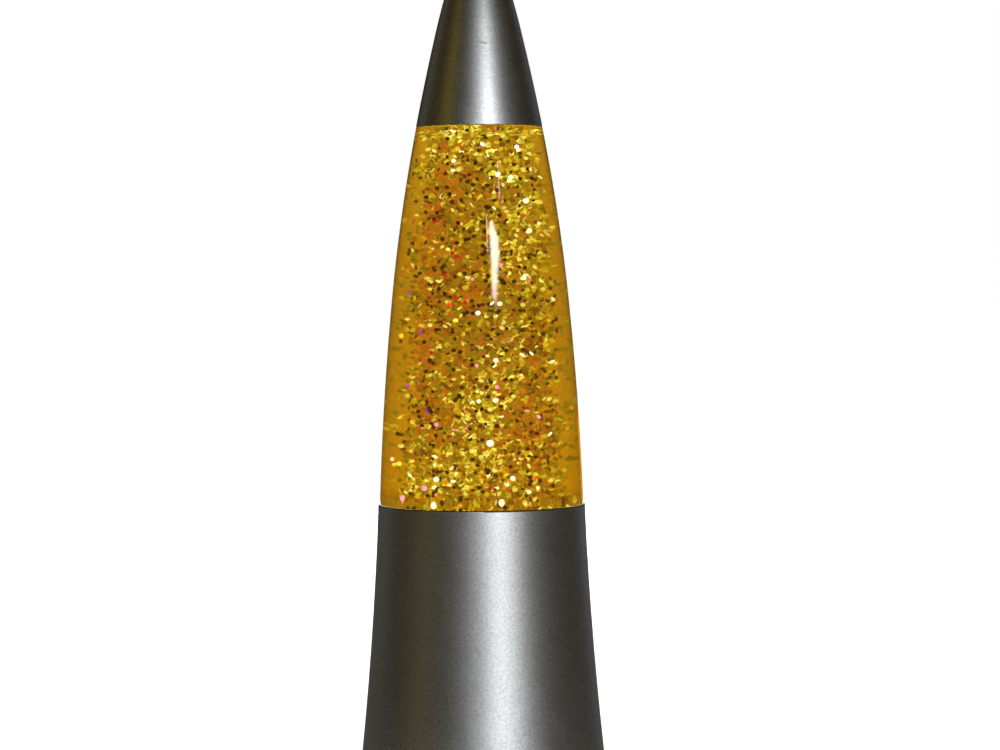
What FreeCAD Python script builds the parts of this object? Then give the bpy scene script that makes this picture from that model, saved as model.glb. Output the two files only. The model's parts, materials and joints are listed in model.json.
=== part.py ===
"""Glitter lamp: flared metal base with its lampholder and reflector bulb, a
sealed bottle of liquid and glitter that stands in the base, and a pointed cap
that stands on the bottle.

Frame: millimetres, +Z up, origin at the centre of the circle the lamp stands
on. The front looks along -Y, and the cord inlet is at the back, on +Y.
"""

import FreeCAD, Part
import math
import os

import Sketcher
from FreeCAD import Placement, Rotation
from FreeCAD import Vector as Vec

doc = FreeCAD.newDocument("glitter_lamp")
sheet = doc.addObject("Spreadsheet::Sheet", "dims")


# --------------------------------------------------------------------------
# Dimensions: every driving size is a named cell of the sheet.
# --------------------------------------------------------------------------
class Dim:
    """A length with the sheet expression that gives it."""

    def __init__(self, value, text):
        self.value = float(value)
        self.text = text

    def __add__(self, other):
        o = dim(other)
        return Dim(self.value + o.value, "(%s + %s)" % (self.text, o.text))

    def __sub__(self, other):
        o = dim(other)
        return Dim(self.value - o.value, "(%s - %s)" % (self.text, o.text))

    def __mul__(self, other):
        o = dim(other)
        return Dim(self.value * o.value, "(%s * %s)" % (self.text, o.text))

    def __truediv__(self, other):
        o = dim(other)
        return Dim(self.value / o.value, "(%s / %s)" % (self.text, o.text))

    def __neg__(self):
        return Dim(-self.value, "(0 - %s)" % self.text)

    def __radd__(self, other):
        return dim(other) + self

    def __rsub__(self, other):
        return dim(other) - self

    def __rmul__(self, other):
        return dim(other) * self


def dim(x):
    return x if isinstance(x, Dim) else Dim(x, "%.6f" % float(x))


def num(x):
    return x.value if isinstance(x, Dim) else float(x)


row = 0


def cell(alias, value, note):
    """A named cell of the sheet: its name, its value and what it is."""
    global row
    row += 1
    sheet.set("A%d" % row, alias)
    sheet.set("B%d" % row, "%g" % value)
    sheet.set("C%d" % row, note)
    sheet.setAlias("B%d" % row, alias)
    return Dim(value, "dims." + alias)


# base shell
rim_height = cell("rim_height", 146.0, "height of the shell's rim above the table")
shell_wall = cell("shell_wall", 0.9, "sheet thickness of the spun shell")
shell_rim_radius = cell("shell_rim_radius", 46.5, "outer radius just below the rim")
shell_foot_radius = cell("shell_foot_radius", 58.25, "outer radius at the foot")
shell_flare = cell("shell_flare", 1660.0, "radius of the gentle flare of the wall")
foot_gap = cell("foot_gap", 1.0, "height of the shell's lower edge")
foot_corner = cell("foot_corner", 1.2, "radius of the rolled foot edge")
flange_radius = cell("flange_radius", 54.6, "inner radius of the turned-in foot edge")
rim_round = cell("rim_round", 0.7, "radius on the outside of the rim")
inlet_height = cell("inlet_height", 20.0, "height of the cord inlet's centre")
inlet_tilt = cell("inlet_tilt", 6.56, "slope of the wall at the inlet, degrees")
inlet_reach = cell("inlet_reach", 56.06, "radius of the wall at the inlet")
inlet_hole_radius = cell("inlet_hole_radius", 4.9, "hole for the inlet grommet")
inlet_bore_radius = cell("inlet_bore_radius", 3.15, "bore of the grommet, for a 6 mm cord")

# bottom plate and what stands on it
plate_radius = cell("plate_radius", 54.0, "radius of the bottom plate")
plate_low = cell("plate_low", 3.0, "underside of the plate's outer ring")
plate_thick = cell("plate_thick", 1.2, "sheet thickness of the plate")
plate_rise = cell("plate_rise", 1.5, "height that the plate's middle is pressed up")
pad_radius = cell("pad_radius", 4.6, "radius of a foot pad")
pitch_radius = cell("pitch_radius", 49.0, "radius of the circle of screws and pads")
clip_thick = cell("clip_thick", 1.2, "sheet thickness of the clips")
vent_width = cell("vent_width", 3.0, "width of a ventilation slot")
bracket_hole_reach = cell("bracket_hole_reach", 23.5, "bracket screws from the middle")
bracket_thick = cell("bracket_thick", 1.5, "sheet thickness of the bracket")
bracket_width = cell("bracket_width", 14.0, "width of the bracket strip")
bracket_top = cell("bracket_top", 24.0, "top face of the bracket")

# lampholder
nipple_radius = cell("nipple_radius", 5.0, "M10 x 1 threaded tube")
nipple_bore = cell("nipple_bore", 3.6, "bore of the threaded tube")
holder_radius = cell("holder_radius", 13.2, "outer radius of the lampholder")
chamber_floor = cell("chamber_floor", 29.5, "floor of the wiring chamber")
core_low = cell("core_low", 36.0, "underside of the lampholder's core")
core_floor = cell("core_floor", 42.0, "floor of the core's socket")
core_top = cell("core_top", 57.5, "top of the core")
sleeve_top = cell("sleeve_top", 60.5, "top of the lampholder")
contact_reach = cell("contact_reach", 8.2, "terminal screws from the middle")

# bulb
bulb_low = cell("bulb_low", 43.2, "lowest point of the bulb's solder tip")
cap_low = cell("cap_low", 48.1, "lower edge of the screw cap")
thread_pitch = cell("thread_pitch", 2.82, "pitch of the E14 thread")
thread_crest = cell("thread_crest", 6.92, "crest radius of the E14 thread")
thread_root = cell("thread_root", 6.25, "root radius of the E14 thread")
bulb_radius = cell("bulb_radius", 19.5, "largest radius of the R39 envelope")
bulb_top = cell("bulb_top", 109.8, "top of the envelope, screwed home")

# bottle
bottle_low = cell("bottle_low", 126.05, "underside of the bottle")
glass_wall = cell("glass_wall", 2.8, "thickness of the bottle's wall")
heel_radius = cell("heel_radius", 45.0, "radius of the part inside the base")
belly_radius = cell("belly_radius", 45.71, "largest radius, just above the rim")
waist_radius = cell("waist_radius", 39.97, "radius where the two curves meet")
waist_height = cell("waist_height", 235.0, "height where the two curves meet")
lower_sweep = cell("lower_sweep", 1392.0, "radius of the lower side curve")
upper_sweep = cell("upper_sweep", 817.0, "radius of the upper side curve")
ledge_height = cell("ledge_height", 315.0, "moulded ledge that the cap stands on")
ledge_radius = cell("ledge_radius", 28.39, "outer radius at the ledge")
spigot_radius = cell("spigot_radius", 24.6, "spigot above the ledge")
mouth_height = cell("mouth_height", 343.5, "top of the bottle's mouth")
mouth_bore = cell("mouth_bore", 7.9, "bore of the mouth")
liquid_level = cell("liquid_level", 318.5, "height of the liquid's surface")

# top cap
cap_edge = cell("cap_edge", 315.1, "lower edge of the cap")
cap_radius = cell("cap_radius", 28.3, "outer radius at the edge")
cap_wall = cell("cap_wall", 0.8, "sheet thickness of the cap")
cap_mid_height = cell("cap_mid_height", 360.0, "height where the cap's curves meet")
cap_mid_radius = cell("cap_mid_radius", 18.58, "radius where the cap's curves meet")
cap_lower_sweep = cell("cap_lower_sweep", 1084.0, "radius of the cap's lower curve")
cap_upper_sweep = cell("cap_upper_sweep", 341.0, "radius of the cap's upper curve")
nose_radius = cell("nose_radius", 3.45, "radius where the rounded nose begins")
nose_height = cell("nose_height", 407.2, "height where the rounded nose begins")
nose_round = cell("nose_round", 3.72, "radius of the rounded nose")
nose_tip = cell("nose_tip", 409.55, "top of the lamp")

# glitter
flake_width = cell("flake_width", 2.2, "width of a glitter flake across its corners")
flake_thick = cell("flake_thick", 0.3, "thickness of a flake in the solid model")

doc.recompute()

pieces = []  # (label, object)


# --------------------------------------------------------------------------
# Sketches and features
# --------------------------------------------------------------------------
def plane_of(body, role):
    for item in body.Origin.OriginFeatures:
        if item.Role == role:
            return item
    raise RuntimeError("no " + role)


def new_body(label):
    body = doc.addObject("PartDesign::Body", label)
    body.Label = label
    body.AllowCompound = True
    pieces.append((label, body))
    return body


def new_sketch(body, name, role="XZ_Plane", shift=(0, 0, 0)):
    """An empty sketch on one of the body's own planes. shift is in the
    sketch's own axes: along its X, along its Y, and out of its plane."""
    sk = body.newObject("Sketcher::SketchObject", name)
    sk.AttachmentSupport = [(plane_of(body, role), "")]
    sk.MapMode = "FlatFace"
    sk.AttachmentOffset = Placement(Vec(num(shift[0]), num(shift[1]), num(shift[2])), Rotation())
    for axis, value in zip("xyz", shift):
        if isinstance(value, Dim):
            sk.setExpression("AttachmentOffset.Base." + axis, value.text)
    return sk


def on_axis(p, q):
    """Whether an edge ends on the axis: there its arc is centred on it."""
    return abs(p[0]) < 1e-9 or abs(q[0]) < 1e-9


def arc_between(p, q, radius, bulge):
    """The minor arc from p to q. bulge is 'l' or 'r': the side, seen along the
    way from p to q, that it bulges to. Returns it and whether it runs q to p."""
    dx, dy = q[0] - p[0], q[1] - p[1]
    length = math.hypot(dx, dy)
    half = length / 2
    if on_axis(p, q):
        radius = length * length / (2 * abs(dy))
    radius = max(radius, half)
    away = math.sqrt(radius * radius - half * half)
    mx, my = (p[0] + q[0]) / 2, (p[1] + q[1]) / 2
    nx, ny = -dy / length, dx / length  # to the left
    side = 1.0 if bulge == "r" else -1.0
    cx, cy = mx + side * nx * away, my + side * ny * away
    circle = Part.Circle(Vec(cx, cy, 0), Vec(0, 0, 1), radius)
    ap = math.atan2(p[1] - cy, p[0] - cx)
    aq = math.atan2(q[1] - cy, q[0] - cx)
    if bulge == "r":
        if aq < ap:
            aq += 2 * math.pi
        return Part.ArcOfCircle(circle, ap, aq), False
    if ap < aq:
        ap += 2 * math.pi
    return Part.ArcOfCircle(circle, aq, ap), True


def locate(cons, bound, geo, pos, x, y):
    """Fixes a point by its distances from the sketch's origin."""
    for kind, value, axis in (("DistanceX", x, -2), ("DistanceY", y, -1)):
        v = num(value)
        if abs(v) < 1e-9:
            cons.append(Sketcher.Constraint("PointOnObject", geo, pos, axis))
            continue
        if v > 0:
            cons.append(Sketcher.Constraint(kind, -1, 1, geo, pos, v))
            text = value.text if isinstance(value, Dim) else None
        else:
            cons.append(Sketcher.Constraint(kind, geo, pos, -1, 1, -v))
            text = (-value).text if isinstance(value, Dim) else None
        if text:
            bound.append((len(cons) - 1, text))


def outline(sk, vertices):
    """A closed outline. Each vertex is (x, y), or (x, y, radius, bulge) where
    the edge to the next vertex is an arc."""
    first = sk.GeometryCount
    base = sk.ConstraintCount
    cons, bound, ends = [], [], []
    count = len(vertices)
    for i, vertex in enumerate(vertices):
        p = (num(vertex[0]), num(vertex[1]))
        after = vertices[(i + 1) % count]
        q = (num(after[0]), num(after[1]))
        if len(vertex) == 4:
            arc, turned = arc_between(p, q, num(vertex[2]), vertex[3])
            sk.addGeometry(arc, False)
            ends.append((2, 1) if turned else (1, 2))
        else:
            sk.addGeometry(Part.LineSegment(Vec(p[0], p[1], 0), Vec(q[0], q[1], 0)), False)
            ends.append((1, 2))
    for i, vertex in enumerate(vertices):
        j = (i + 1) % count
        cons.append(Sketcher.Constraint("Coincident", first + i, ends[i][1], first + j, ends[j][0]))
    for i, vertex in enumerate(vertices):
        locate(cons, bound, first + i, ends[i][0], vertex[0], vertex[1])
        if len(vertex) == 4:
            after = vertices[(i + 1) % count]
            if on_axis((num(vertex[0]), 0), (num(after[0]), 0)):
                cons.append(Sketcher.Constraint("PointOnObject", first + i, 3, -2))
                continue
            cons.append(Sketcher.Constraint("Radius", first + i, num(vertex[2])))
            if isinstance(vertex[2], Dim):
                bound.append((len(cons) - 1, vertex[2].text))
    sk.addConstraint(cons)
    for index, text in bound:
        sk.setExpression("Constraints[%d]" % (base + index), text)


def circles(sk, items):
    """Full circles, each (x, y, radius)."""
    for x, y, radius in items:
        geo = sk.GeometryCount
        base = sk.ConstraintCount
        cons, bound = [], []
        sk.addGeometry(Part.Circle(Vec(num(x), num(y), 0), Vec(0, 0, 1), num(radius)), False)
        if abs(num(x)) < 1e-9 and abs(num(y)) < 1e-9:
            cons.append(Sketcher.Constraint("Coincident", geo, 3, -1, 1))
        else:
            locate(cons, bound, geo, 3, x, y)
        cons.append(Sketcher.Constraint("Radius", geo, num(radius)))
        if isinstance(radius, Dim):
            bound.append((len(cons) - 1, radius.text))
        sk.addConstraint(cons)
        for index, text in bound:
            sk.setExpression("Constraints[%d]" % (base + index), text)


def turned(body, name, vertices, angle=360.0, shift=(0, 0, 0), groove=False):
    """A solid of revolution about the sketch's own vertical axis."""
    sk = new_sketch(body, name + "_profile", "XZ_Plane", shift)
    outline(sk, vertices)
    kind = "PartDesign::Groove" if groove else "PartDesign::Revolution"
    rev = body.newObject(kind, name)
    rev.Profile = sk
    rev.ReferenceAxis = (sk, ["V_Axis"])
    rev.Angle = angle
    if angle < 360:
        rev.Midplane = True
    body.Tip = rev
    return rev


def raised(body, name, sk, length, middle=False, down=False):
    pad = body.newObject("PartDesign::Pad", name)
    pad.Profile = sk
    pad.Length = num(length)
    if isinstance(length, Dim):
        pad.setExpression("Length", length.text)
    pad.Midplane = middle
    pad.Reversed = down
    body.Tip = pad
    return pad


def cut(body, name, sk, length=None, middle=False, up=False):
    """A pocket against the sketch's normal, or along it with up."""
    hole = body.newObject("PartDesign::Pocket", name)
    hole.Profile = sk
    if length is None:
        hole.Type = 1
    else:
        hole.Length = num(length)
        if isinstance(length, Dim):
            hole.setExpression("Length", length.text)
    hole.Midplane = middle
    hole.Reversed = up
    body.Tip = hole
    return hole


def ring_of(body, name, features, count, angle=360.0):
    ring = body.newObject("PartDesign::PolarPattern", name)
    ring.Originals = features
    ring.Axis = (plane_of(body, "Z_Axis"), [""])
    ring.Angle = angle
    ring.Occurrences = count
    body.Tip = ring
    return ring


def hexagon(sk, x, y, flats):
    """A hexagon with two corners on the sketch's X direction."""
    corner = flats / math.sqrt(3.0)
    points = []
    for k in range(6):
        a = math.radians(60 * k)
        px = corner * math.cos(a) + x if abs(math.cos(a)) > 1e-9 else x
        py = corner * math.sin(a) + y if abs(math.sin(a)) > 1e-9 else y
        points.append((px, py))
    outline(sk, points)


def place(obj, base=(0, 0, 0), axis=(0, 0, 1), angle=0.0):
    obj.Placement = Placement(
        Vec(num(base[0]), num(base[1]), num(base[2])), Rotation(Vec(*axis), num(angle))
    )
    for name, value in zip("xyz", base):
        if isinstance(value, Dim):
            obj.setExpression("Placement.Base." + name, value.text)


def cross_recess(body, name, bottom, depth, x=0.0, y=0.0, arm=2.4, wide=0.7):
    """A cross slot cut upwards into the underside of a screw head at height
    bottom, or downwards when depth is negative."""
    sk = new_sketch(body, name + "_outline", "XY_Plane", (0, 0, bottom))
    h, w = arm / 2.0, wide / 2.0
    pts = [(h, w), (w, w), (w, h), (-w, h), (-w, w), (-h, w),
           (-h, -w), (-w, -w), (-w, -h), (w, -h), (w, -w), (h, -w)]
    outline(sk, [(x + a, y + b) for a, b in pts])
    return cut(body, name, sk, abs(depth), up=depth > 0)


# --------------------------------------------------------------------------
# Base shell: one spun cone, flared to the foot, rim rounded, foot edge turned
# inwards, with a hole for the inlet grommet at the back.
# --------------------------------------------------------------------------
body = new_body("base_shell")
turned(body, "spun_wall", [
    (shell_foot_radius, foot_gap + foot_corner, shell_flare, "l"),
    (shell_rim_radius, rim_height - rim_round, rim_round, "r"),
    (shell_rim_radius - rim_round, rim_height),
    (shell_rim_radius - shell_wall + 0.05, rim_height),
    (shell_rim_radius - shell_wall, rim_height - 0.2, shell_flare + shell_wall, "r"),
    (shell_foot_radius - shell_wall, foot_gap + foot_corner + 0.3),
    (shell_foot_radius - shell_wall - 0.35, foot_gap + shell_wall),
    (flange_radius, foot_gap + shell_wall),
    (flange_radius, foot_gap),
    (shell_foot_radius - foot_corner, foot_gap, foot_corner, "r"),
])
sk = new_sketch(body, "inlet_hole_outline", "XZ_Plane", (0, 0, -45.0))
circles(sk, [(0, inlet_height, inlet_hole_radius)])
cut(body, "inlet_hole", sk, 20.0)

# --------------------------------------------------------------------------
# Bottle cradle: a pressed ring wedged into the shell from below, with the
# ledge that the bottle's heel stands on, and the soft gasket on that ledge.
# --------------------------------------------------------------------------
body = new_body("bottle_cradle")
turned(body, "ring", [
    (30.5, 123.1),
    (30.9, 122.6),
    (31.7, 122.6),
    (31.9, 123.5),
    (44.8, 123.5, 0.6, "l"),
    (45.4, 122.9),
    (45.9, 112.0),
    (47.05, 112.0),
    (46.45, 123.4, 1.3, "r"),
    (45.1, 124.7),
    (31.0, 124.7, 0.6, "r"),
    (30.5, 124.2),
])
body = new_body("seat_gasket")
turned(body, "ring", [
    (31.6, 124.75),
    (39.4, 124.75),
    (39.6, 124.95),
    (39.6, bottle_low - 0.3, 0.25, "r"),
    (39.35, bottle_low - 0.05),
    (31.65, bottle_low - 0.05, 0.25, "r"),
    (31.4, bottle_low - 0.3),
    (31.4, 124.95),
])

# --------------------------------------------------------------------------
# Bottom plate, its clips, screws and pads
# --------------------------------------------------------------------------
plate_top = plate_low + plate_thick
floor_low = plate_low + plate_rise  # underside of the raised middle
floor_top = floor_low + plate_thick
body = new_body("base_plate")
turned(body, "pressed_disc", [
    (0, floor_low),
    (41.6, floor_low),
    (43.4, plate_low),
    (plate_radius - 0.4, plate_low),
    (plate_radius, plate_low + 0.4),
    (plate_radius, plate_top),
    (44.0, plate_top),
    (42.2, floor_top),
    (0, floor_top),
])
sk = new_sketch(body, "vent_outline", "XY_Plane", (0, 0, 8))
half = vent_width / 2
c, s = math.cos(math.radians(22.5)), math.sin(math.radians(22.5))


def polar(r, side):
    """A point at radius r on the slot's line, moved sideways by side."""
    return (dim(r) * c - dim(side) * s, dim(r) * s + dim(side) * c)


a1, a2, a3, a4 = polar(25, -half), polar(38, -half), polar(38, half), polar(25, half)
outline(sk, [
    (a1[0], a1[1]),
    (a2[0], a2[1], half * 1.04, "r"),
    (a3[0], a3[1]),
    (a4[0], a4[1], half * 1.04, "r"),
])
vent = cut(body, "vent", sk)
ring_of(body, "vents", [vent], 8)
sk = new_sketch(body, "middle_vent_outline", "XY_Plane", (0, 0, 8))
circles(sk, [(11.0, 0, 2.2)])
vent = cut(body, "middle_vent", sk)
ring_of(body, "middle_vents", [vent], 6)
sk = new_sketch(body, "plate_screw_hole_outline", "XY_Plane", (0, 0, 8))
circles(sk, [(pitch_radius * math.cos(math.radians(30)), pitch_radius * 0.5, 1.65)])
holes = cut(body, "plate_screw_hole", sk)
ring_of(body, "plate_screw_holes", [holes], 3)
sk = new_sketch(body, "fixing_holes_outline", "XY_Plane", (0, 0, 8))
circles(sk, [(bracket_hole_reach, 0, 2.15), (-bracket_hole_reach, 0, 2.15), (0, 34.0, 1.6)])
cut(body, "fixing_holes", sk)

body = new_body("plate_clips")
clip = turned(body, "angle", [
    (45.4, plate_top),
    (56.95, plate_top),
    (55.33, 18.0),
    (54.13, 18.0),
    (55.6, plate_top + clip_thick),
    (45.4, plate_top + clip_thick),
], angle=18.0)
sk = new_sketch(body, "clip_hole_outline", "XY_Plane", (0, 0, 8))
circles(sk, [(pitch_radius, 0, 1.55)])
tap = cut(body, "clip_hole", sk)
ring_of(body, "clips", [clip, tap], 3)
place(body, angle=30.0)

body = new_body("plate_screws")
screw = turned(body, "screw", [
    (0, plate_low - 2.1),
    (1.9, plate_low - 2.1, 1.9, "r"),
    (2.8, plate_low - 0.7),
    (2.8, plate_low),
    (1.5, plate_low),
    (1.5, 8.6),
    (1.1, 9.2),
    (0, 9.2),
], shift=(pitch_radius, 0, 0))
slot = cross_recess(body, "recess", plate_low - 2.1, 0.9, x=pitch_radius)
ring_of(body, "screws", [screw, slot], 3)
place(body, angle=30.0)

body = new_body("foot_pads")
pad = turned(body, "pad", [
    (0, 0),
    (pad_radius - 0.8, 0, 0.8, "r"),
    (pad_radius, 0.8),
    (pad_radius, plate_low),
    (0, plate_low),
], shift=(pitch_radius, 0, 0))
ring_of(body, "pads", [pad], 4)
place(body, angle=45.0)

# --------------------------------------------------------------------------
# Bracket that lifts the lampholder, and its screws and nuts
# --------------------------------------------------------------------------
body = new_body("holder_bracket")
sk = new_sketch(body, "strip", "XZ_Plane")
t = bracket_thick
r_in, r_out = 1.0, t + 1.0
foot = floor_top
top = bracket_top
leg = 16.0  # outer face of the legs
outline(sk, [
    # outside of the strip from the left foot's tip over the top to the right
    (-30.0, foot + t),
    (-leg - 1.0, foot + t, 1.0, "r"),
    (-leg, foot + t + 1.0),
    (-leg, top - r_out, r_out, "l"),
    (dim(r_out) - leg, top),
    (leg - dim(r_out), top, r_out, "l"),
    (leg, top - r_out),
    (leg, foot + t + 1.0, 1.0, "r"),
    (leg + 1.0, foot + t),
    (30.0, foot + t),
    # underside, back from the right foot's tip
    (30.0, foot),
    (leg - t + r_out, foot, r_out, "l"),
    (leg - t, foot + r_out),
    (leg - t, top - t - 1.0, 1.0, "r"),
    (leg - t - 1.0, top - t),
    (t - leg + 1.0, top - t, 1.0, "r"),
    (t - leg, top - t - 1.0),
    (t - leg, foot + r_out, r_out, "l"),
    (t - leg - r_out, foot),
    (-30.0, foot),
])
raised(body, "strip_pad", sk, bracket_width, middle=True)
sk = new_sketch(body, "holes_outline", "XY_Plane", (0, 0, 40))
circles(sk, [(0, 0, nipple_radius + 0.15), (bracket_hole_reach, 0, 2.15), (-bracket_hole_reach, 0, 2.15)])
cut(body, "holes", sk)

body = new_body("bracket_screws")
screw = turned(body, "screw", [
    (0, floor_low - 2.2),
    (2.4, floor_low - 2.2, 2.2, "r"),
    (3.6, floor_low - 0.8),
    (3.6, floor_low),
    (2.0, floor_low),
    (2.0, 12.4),
    (1.6, 12.9),
    (0, 12.9),
], shift=(bracket_hole_reach, 0, 0))
slot = cross_recess(body, "recess", floor_low - 2.2, 1.1, x=bracket_hole_reach, arm=3.2, wide=0.9)
ring_of(body, "screws", [screw, slot], 2)

body = new_body("bracket_nuts")
sk = new_sketch(body, "flats", "XY_Plane", (0, 0, floor_top + bracket_thick))
hexagon(sk, bracket_hole_reach, 0.0, dim(7.0))
circles(sk, [(bracket_hole_reach, 0, 2.05)])
nut = raised(body, "nut", sk, 3.2)
ring_of(body, "nuts", [nut], 2)

# --------------------------------------------------------------------------
# Threaded tube with its washer and nut
# --------------------------------------------------------------------------
body = new_body("holder_nipple")
turned(body, "tube", [
    (nipple_bore, 16.5),
    (nipple_radius - 0.5, 16.5),
    (nipple_radius, 17.0),
    (nipple_radius, chamber_floor - 0.5),
    (nipple_radius - 0.5, chamber_floor),
    (nipple_bore, chamber_floor),
])
body = new_body("nipple_washer")
turned(body, "ring", [
    (5.2, 21.5),
    (8.8, 21.5),
    (9.0, 21.7),
    (9.0, 22.3),
    (8.8, 22.5),
    (5.2, 22.5),
])
body = new_body("nipple_nut")
sk = new_sketch(body, "flats", "XY_Plane", (0, 0, 18.3))
hexagon(sk, 0.0, 0.0, dim(14.0))
circles(sk, [(0, 0, nipple_radius + 0.06)])
raised(body, "nut", sk, 3.2)

# --------------------------------------------------------------------------
# Lampholder: base cap, core, sleeve, socket shell, contacts
# --------------------------------------------------------------------------
body = new_body("holder_base_cap")
turned(body, "cup", [
    (nipple_radius + 0.06, bracket_top),
    (8.5, bracket_top),
    (8.5, 26.4, 2.4, "l"),
    (10.2, 28.0),
    (12.2, 28.6, 1.8, "r"),
    (holder_radius, 30.2),
    (holder_radius, 36.4),
    (12.4, 36.4),
    (12.4, 40.5),
    (11.35, 40.5),
    (11.35, core_low - 0.05),
    (10.6, core_low - 0.05),
    (10.6, chamber_floor),
    (nipple_radius + 0.06, chamber_floor),
])

a50 = math.radians(50)
neutral_x = contact_reach * math.cos(a50)
neutral_y = -(contact_reach * math.sin(a50))
body = new_body("holder_core")
turned(body, "core", [
    (0, core_low),
    (11.0, core_low),
    (11.1, core_low + 0.1),
    (11.1, core_top - 0.4),
    (10.7, core_top),
    (7.75, core_top),
    (7.75, core_floor),
    (0, core_floor),
])
sk = new_sketch(body, "contact_slots_outline", "XY_Plane", (0, 0, core_low))
outline(sk, [(-5.8, -2.25), (-4.7, -2.25), (-4.7, 2.25), (-5.8, 2.25)])
outline(sk, [(7.3, -2.25), (8.3, -2.25), (8.3, 2.25), (7.3, 2.25)])
cut(body, "contact_slots", sk, 30.0, up=True)
sk = new_sketch(body, "screw_holes_outline", "XY_Plane", (0, 0, core_low))
circles(sk, [(-contact_reach, 0, 1.25), (neutral_x, neutral_y, 1.25)])
cut(body, "screw_holes", sk, 5.0, up=True)

body = new_body("holder_sleeve")
turned(body, "tube", [
    (12.5, 36.5),
    (holder_radius, 36.5),
    (holder_radius, sleeve_top - 2.0, 2.0, "r"),
    (holder_radius - 2.0, sleeve_top),
    (8.4, sleeve_top, 0.4, "l"),
    (8.0, sleeve_top - 0.4),
    (8.0, sleeve_top - 1.6),
    (11.3, sleeve_top - 1.6),
    (11.3, 40.9),
    (12.5, 40.9),
])
sk = new_sketch(body, "grip_outline", "XY_Plane", (0, 0, 38.5))
circles(sk, [(holder_radius + 0.35, 0, 0.75)])
grip = cut(body, "grip", sk, 16.0, up=True)
ring_of(body, "grips", [grip], 24)

body = new_body("holder_thread")
turned(body, "shell", [
    (7.2, 44.5),
    (7.5, 44.2),
    (7.58, 44.5),
    (7.58, core_top - 0.2),
    (7.2, core_top - 0.2),
])

body = new_body("centre_contact")
sk = new_sketch(body, "strip", "XZ_Plane")
outline(sk, [
    (-10.0, core_low - 0.5),
    (-5.0, core_low - 0.5),
    (-5.0, core_floor + 0.05),
    (2.0, core_floor + 0.55),
    (2.6, core_floor + 0.3),
    (2.8, core_floor + 0.5),
    (2.1, core_floor + 0.98),
    (-5.5, core_floor + 0.5),
    (-5.5, core_low - 0.02),
    (-10.0, core_low - 0.02),
])
raised(body, "strip_pad", sk, 4.0, middle=True)
sk = new_sketch(body, "hole_outline", "XY_Plane", (0, 0, core_low - 0.5))
circles(sk, [(-contact_reach, 0, 1.25)])
cut(body, "hole", sk, 1.0, up=True)

body = new_body("side_contact")
sk = new_sketch(body, "tab_outline", "XY_Plane", (0, 0, core_low - 0.5))
outline(sk, [
    (8.1, -2.0), (8.1, 2.0), (6.6, 2.0), (3.2, -5.6), (4.4, -8.4), (6.6, -7.9),
])
circles(sk, [(neutral_x, neutral_y, 1.25)])
raised(body, "tab", sk, 0.48)
sk = new_sketch(body, "leg_outline", "XY_Plane", (0, 0, core_low - 0.5))
outline(sk, [(7.65, -2.0), (8.1, -2.0), (8.1, 2.0), (7.65, 2.0)])
raised(body, "leg", sk, 14.5)

body = new_body("contact_screws")
outline_points = [
    (0, core_low - 2.1),
    (1.7, core_low - 2.1),
    (2.0, core_low - 1.8),
    (2.0, core_low - 0.5),
    (1.2, core_low - 0.5),
    (1.2, core_low + 4.5),
    (0, core_low + 4.5),
]
turned(body, "live_screw", outline_points, shift=(-contact_reach, 0, 0))
turned(body, "neutral_screw", outline_points, shift=(neutral_x, 0, -neutral_y))

# --------------------------------------------------------------------------
# Connector block on the plate, behind the bracket
# --------------------------------------------------------------------------
block_y = 34.0  # middle of the block
tube_z = floor_top + 4.8
body = new_body("terminal_block")
sk = new_sketch(body, "foot_outline", "XY_Plane", (0, 0, floor_top))
outline(sk, [(-9.0, block_y - 7), (9.0, block_y - 7), (9.0, block_y + 7), (-9.0, block_y + 7)])
raised(body, "block", sk, 9.5)
sk = new_sketch(body, "tower_outline", "XY_Plane", (0, 0, floor_top + 9.5))
outline(sk, [(-8.2, block_y - 6), (-2.4, block_y - 6), (-2.4, block_y + 6), (-8.2, block_y + 6)])
outline(sk, [(2.4, block_y - 6), (8.2, block_y - 6), (8.2, block_y + 6), (2.4, block_y + 6)])
raised(body, "towers", sk, 2.5)
sk = new_sketch(body, "tube_bores_outline", "XZ_Plane", (0, 0, 0))
circles(sk, [(5.3, tube_z, 2.06), (-5.3, tube_z, 2.06)])
cut(body, "tube_bores", sk, 60.0, up=False)
sk = new_sketch(body, "wells_outline", "XY_Plane", (0, 0, floor_top + 12.0))
circles(sk, [(5.3, block_y - 3.5, 1.9), (-5.3, block_y - 3.5, 1.9),
             (5.3, block_y + 3.5, 1.9), (-5.3, block_y + 3.5, 1.9)])
cut(body, "wells", sk, 6.6)
sk = new_sketch(body, "fixing_hole_outline", "XY_Plane", (0, 0, floor_top + 12.0))
circles(sk, [(0, block_y, 1.6)])
cut(body, "fixing_hole", sk)

body = new_body("block_screw")
turned(body, "screw", [
    (0, 2.9),
    (1.1, 2.9),
    (1.5, 3.4),
    (1.5, floor_top + 9.55),
    (2.0, floor_top + 9.55),
    (2.0, floor_top + 11.0),
    (1.4, floor_top + 11.5),
    (0, floor_top + 11.5),
], shift=(0, 0, -block_y))
cross_recess(body, "recess", floor_top + 11.5, -0.9, y=block_y)

body = new_body("terminal_inserts")
sk = new_sketch(body, "ring_outline", "XZ_Plane", (0, 0, -block_y))
circles(sk, [(5.3, tube_z, 2.0), (5.3, tube_z, 1.4), (-5.3, tube_z, 2.0), (-5.3, tube_z, 1.4)])
raised(body, "tubes", sk, 12.0, middle=True)
sk = new_sketch(body, "tap_outline", "XY_Plane", (0, 0, tube_z))
circles(sk, [(5.3, block_y - 3.5, 1.25), (-5.3, block_y - 3.5, 1.25),
             (5.3, block_y + 3.5, 1.25), (-5.3, block_y + 3.5, 1.25)])
cut(body, "taps", sk, 4.0, up=True)

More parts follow.
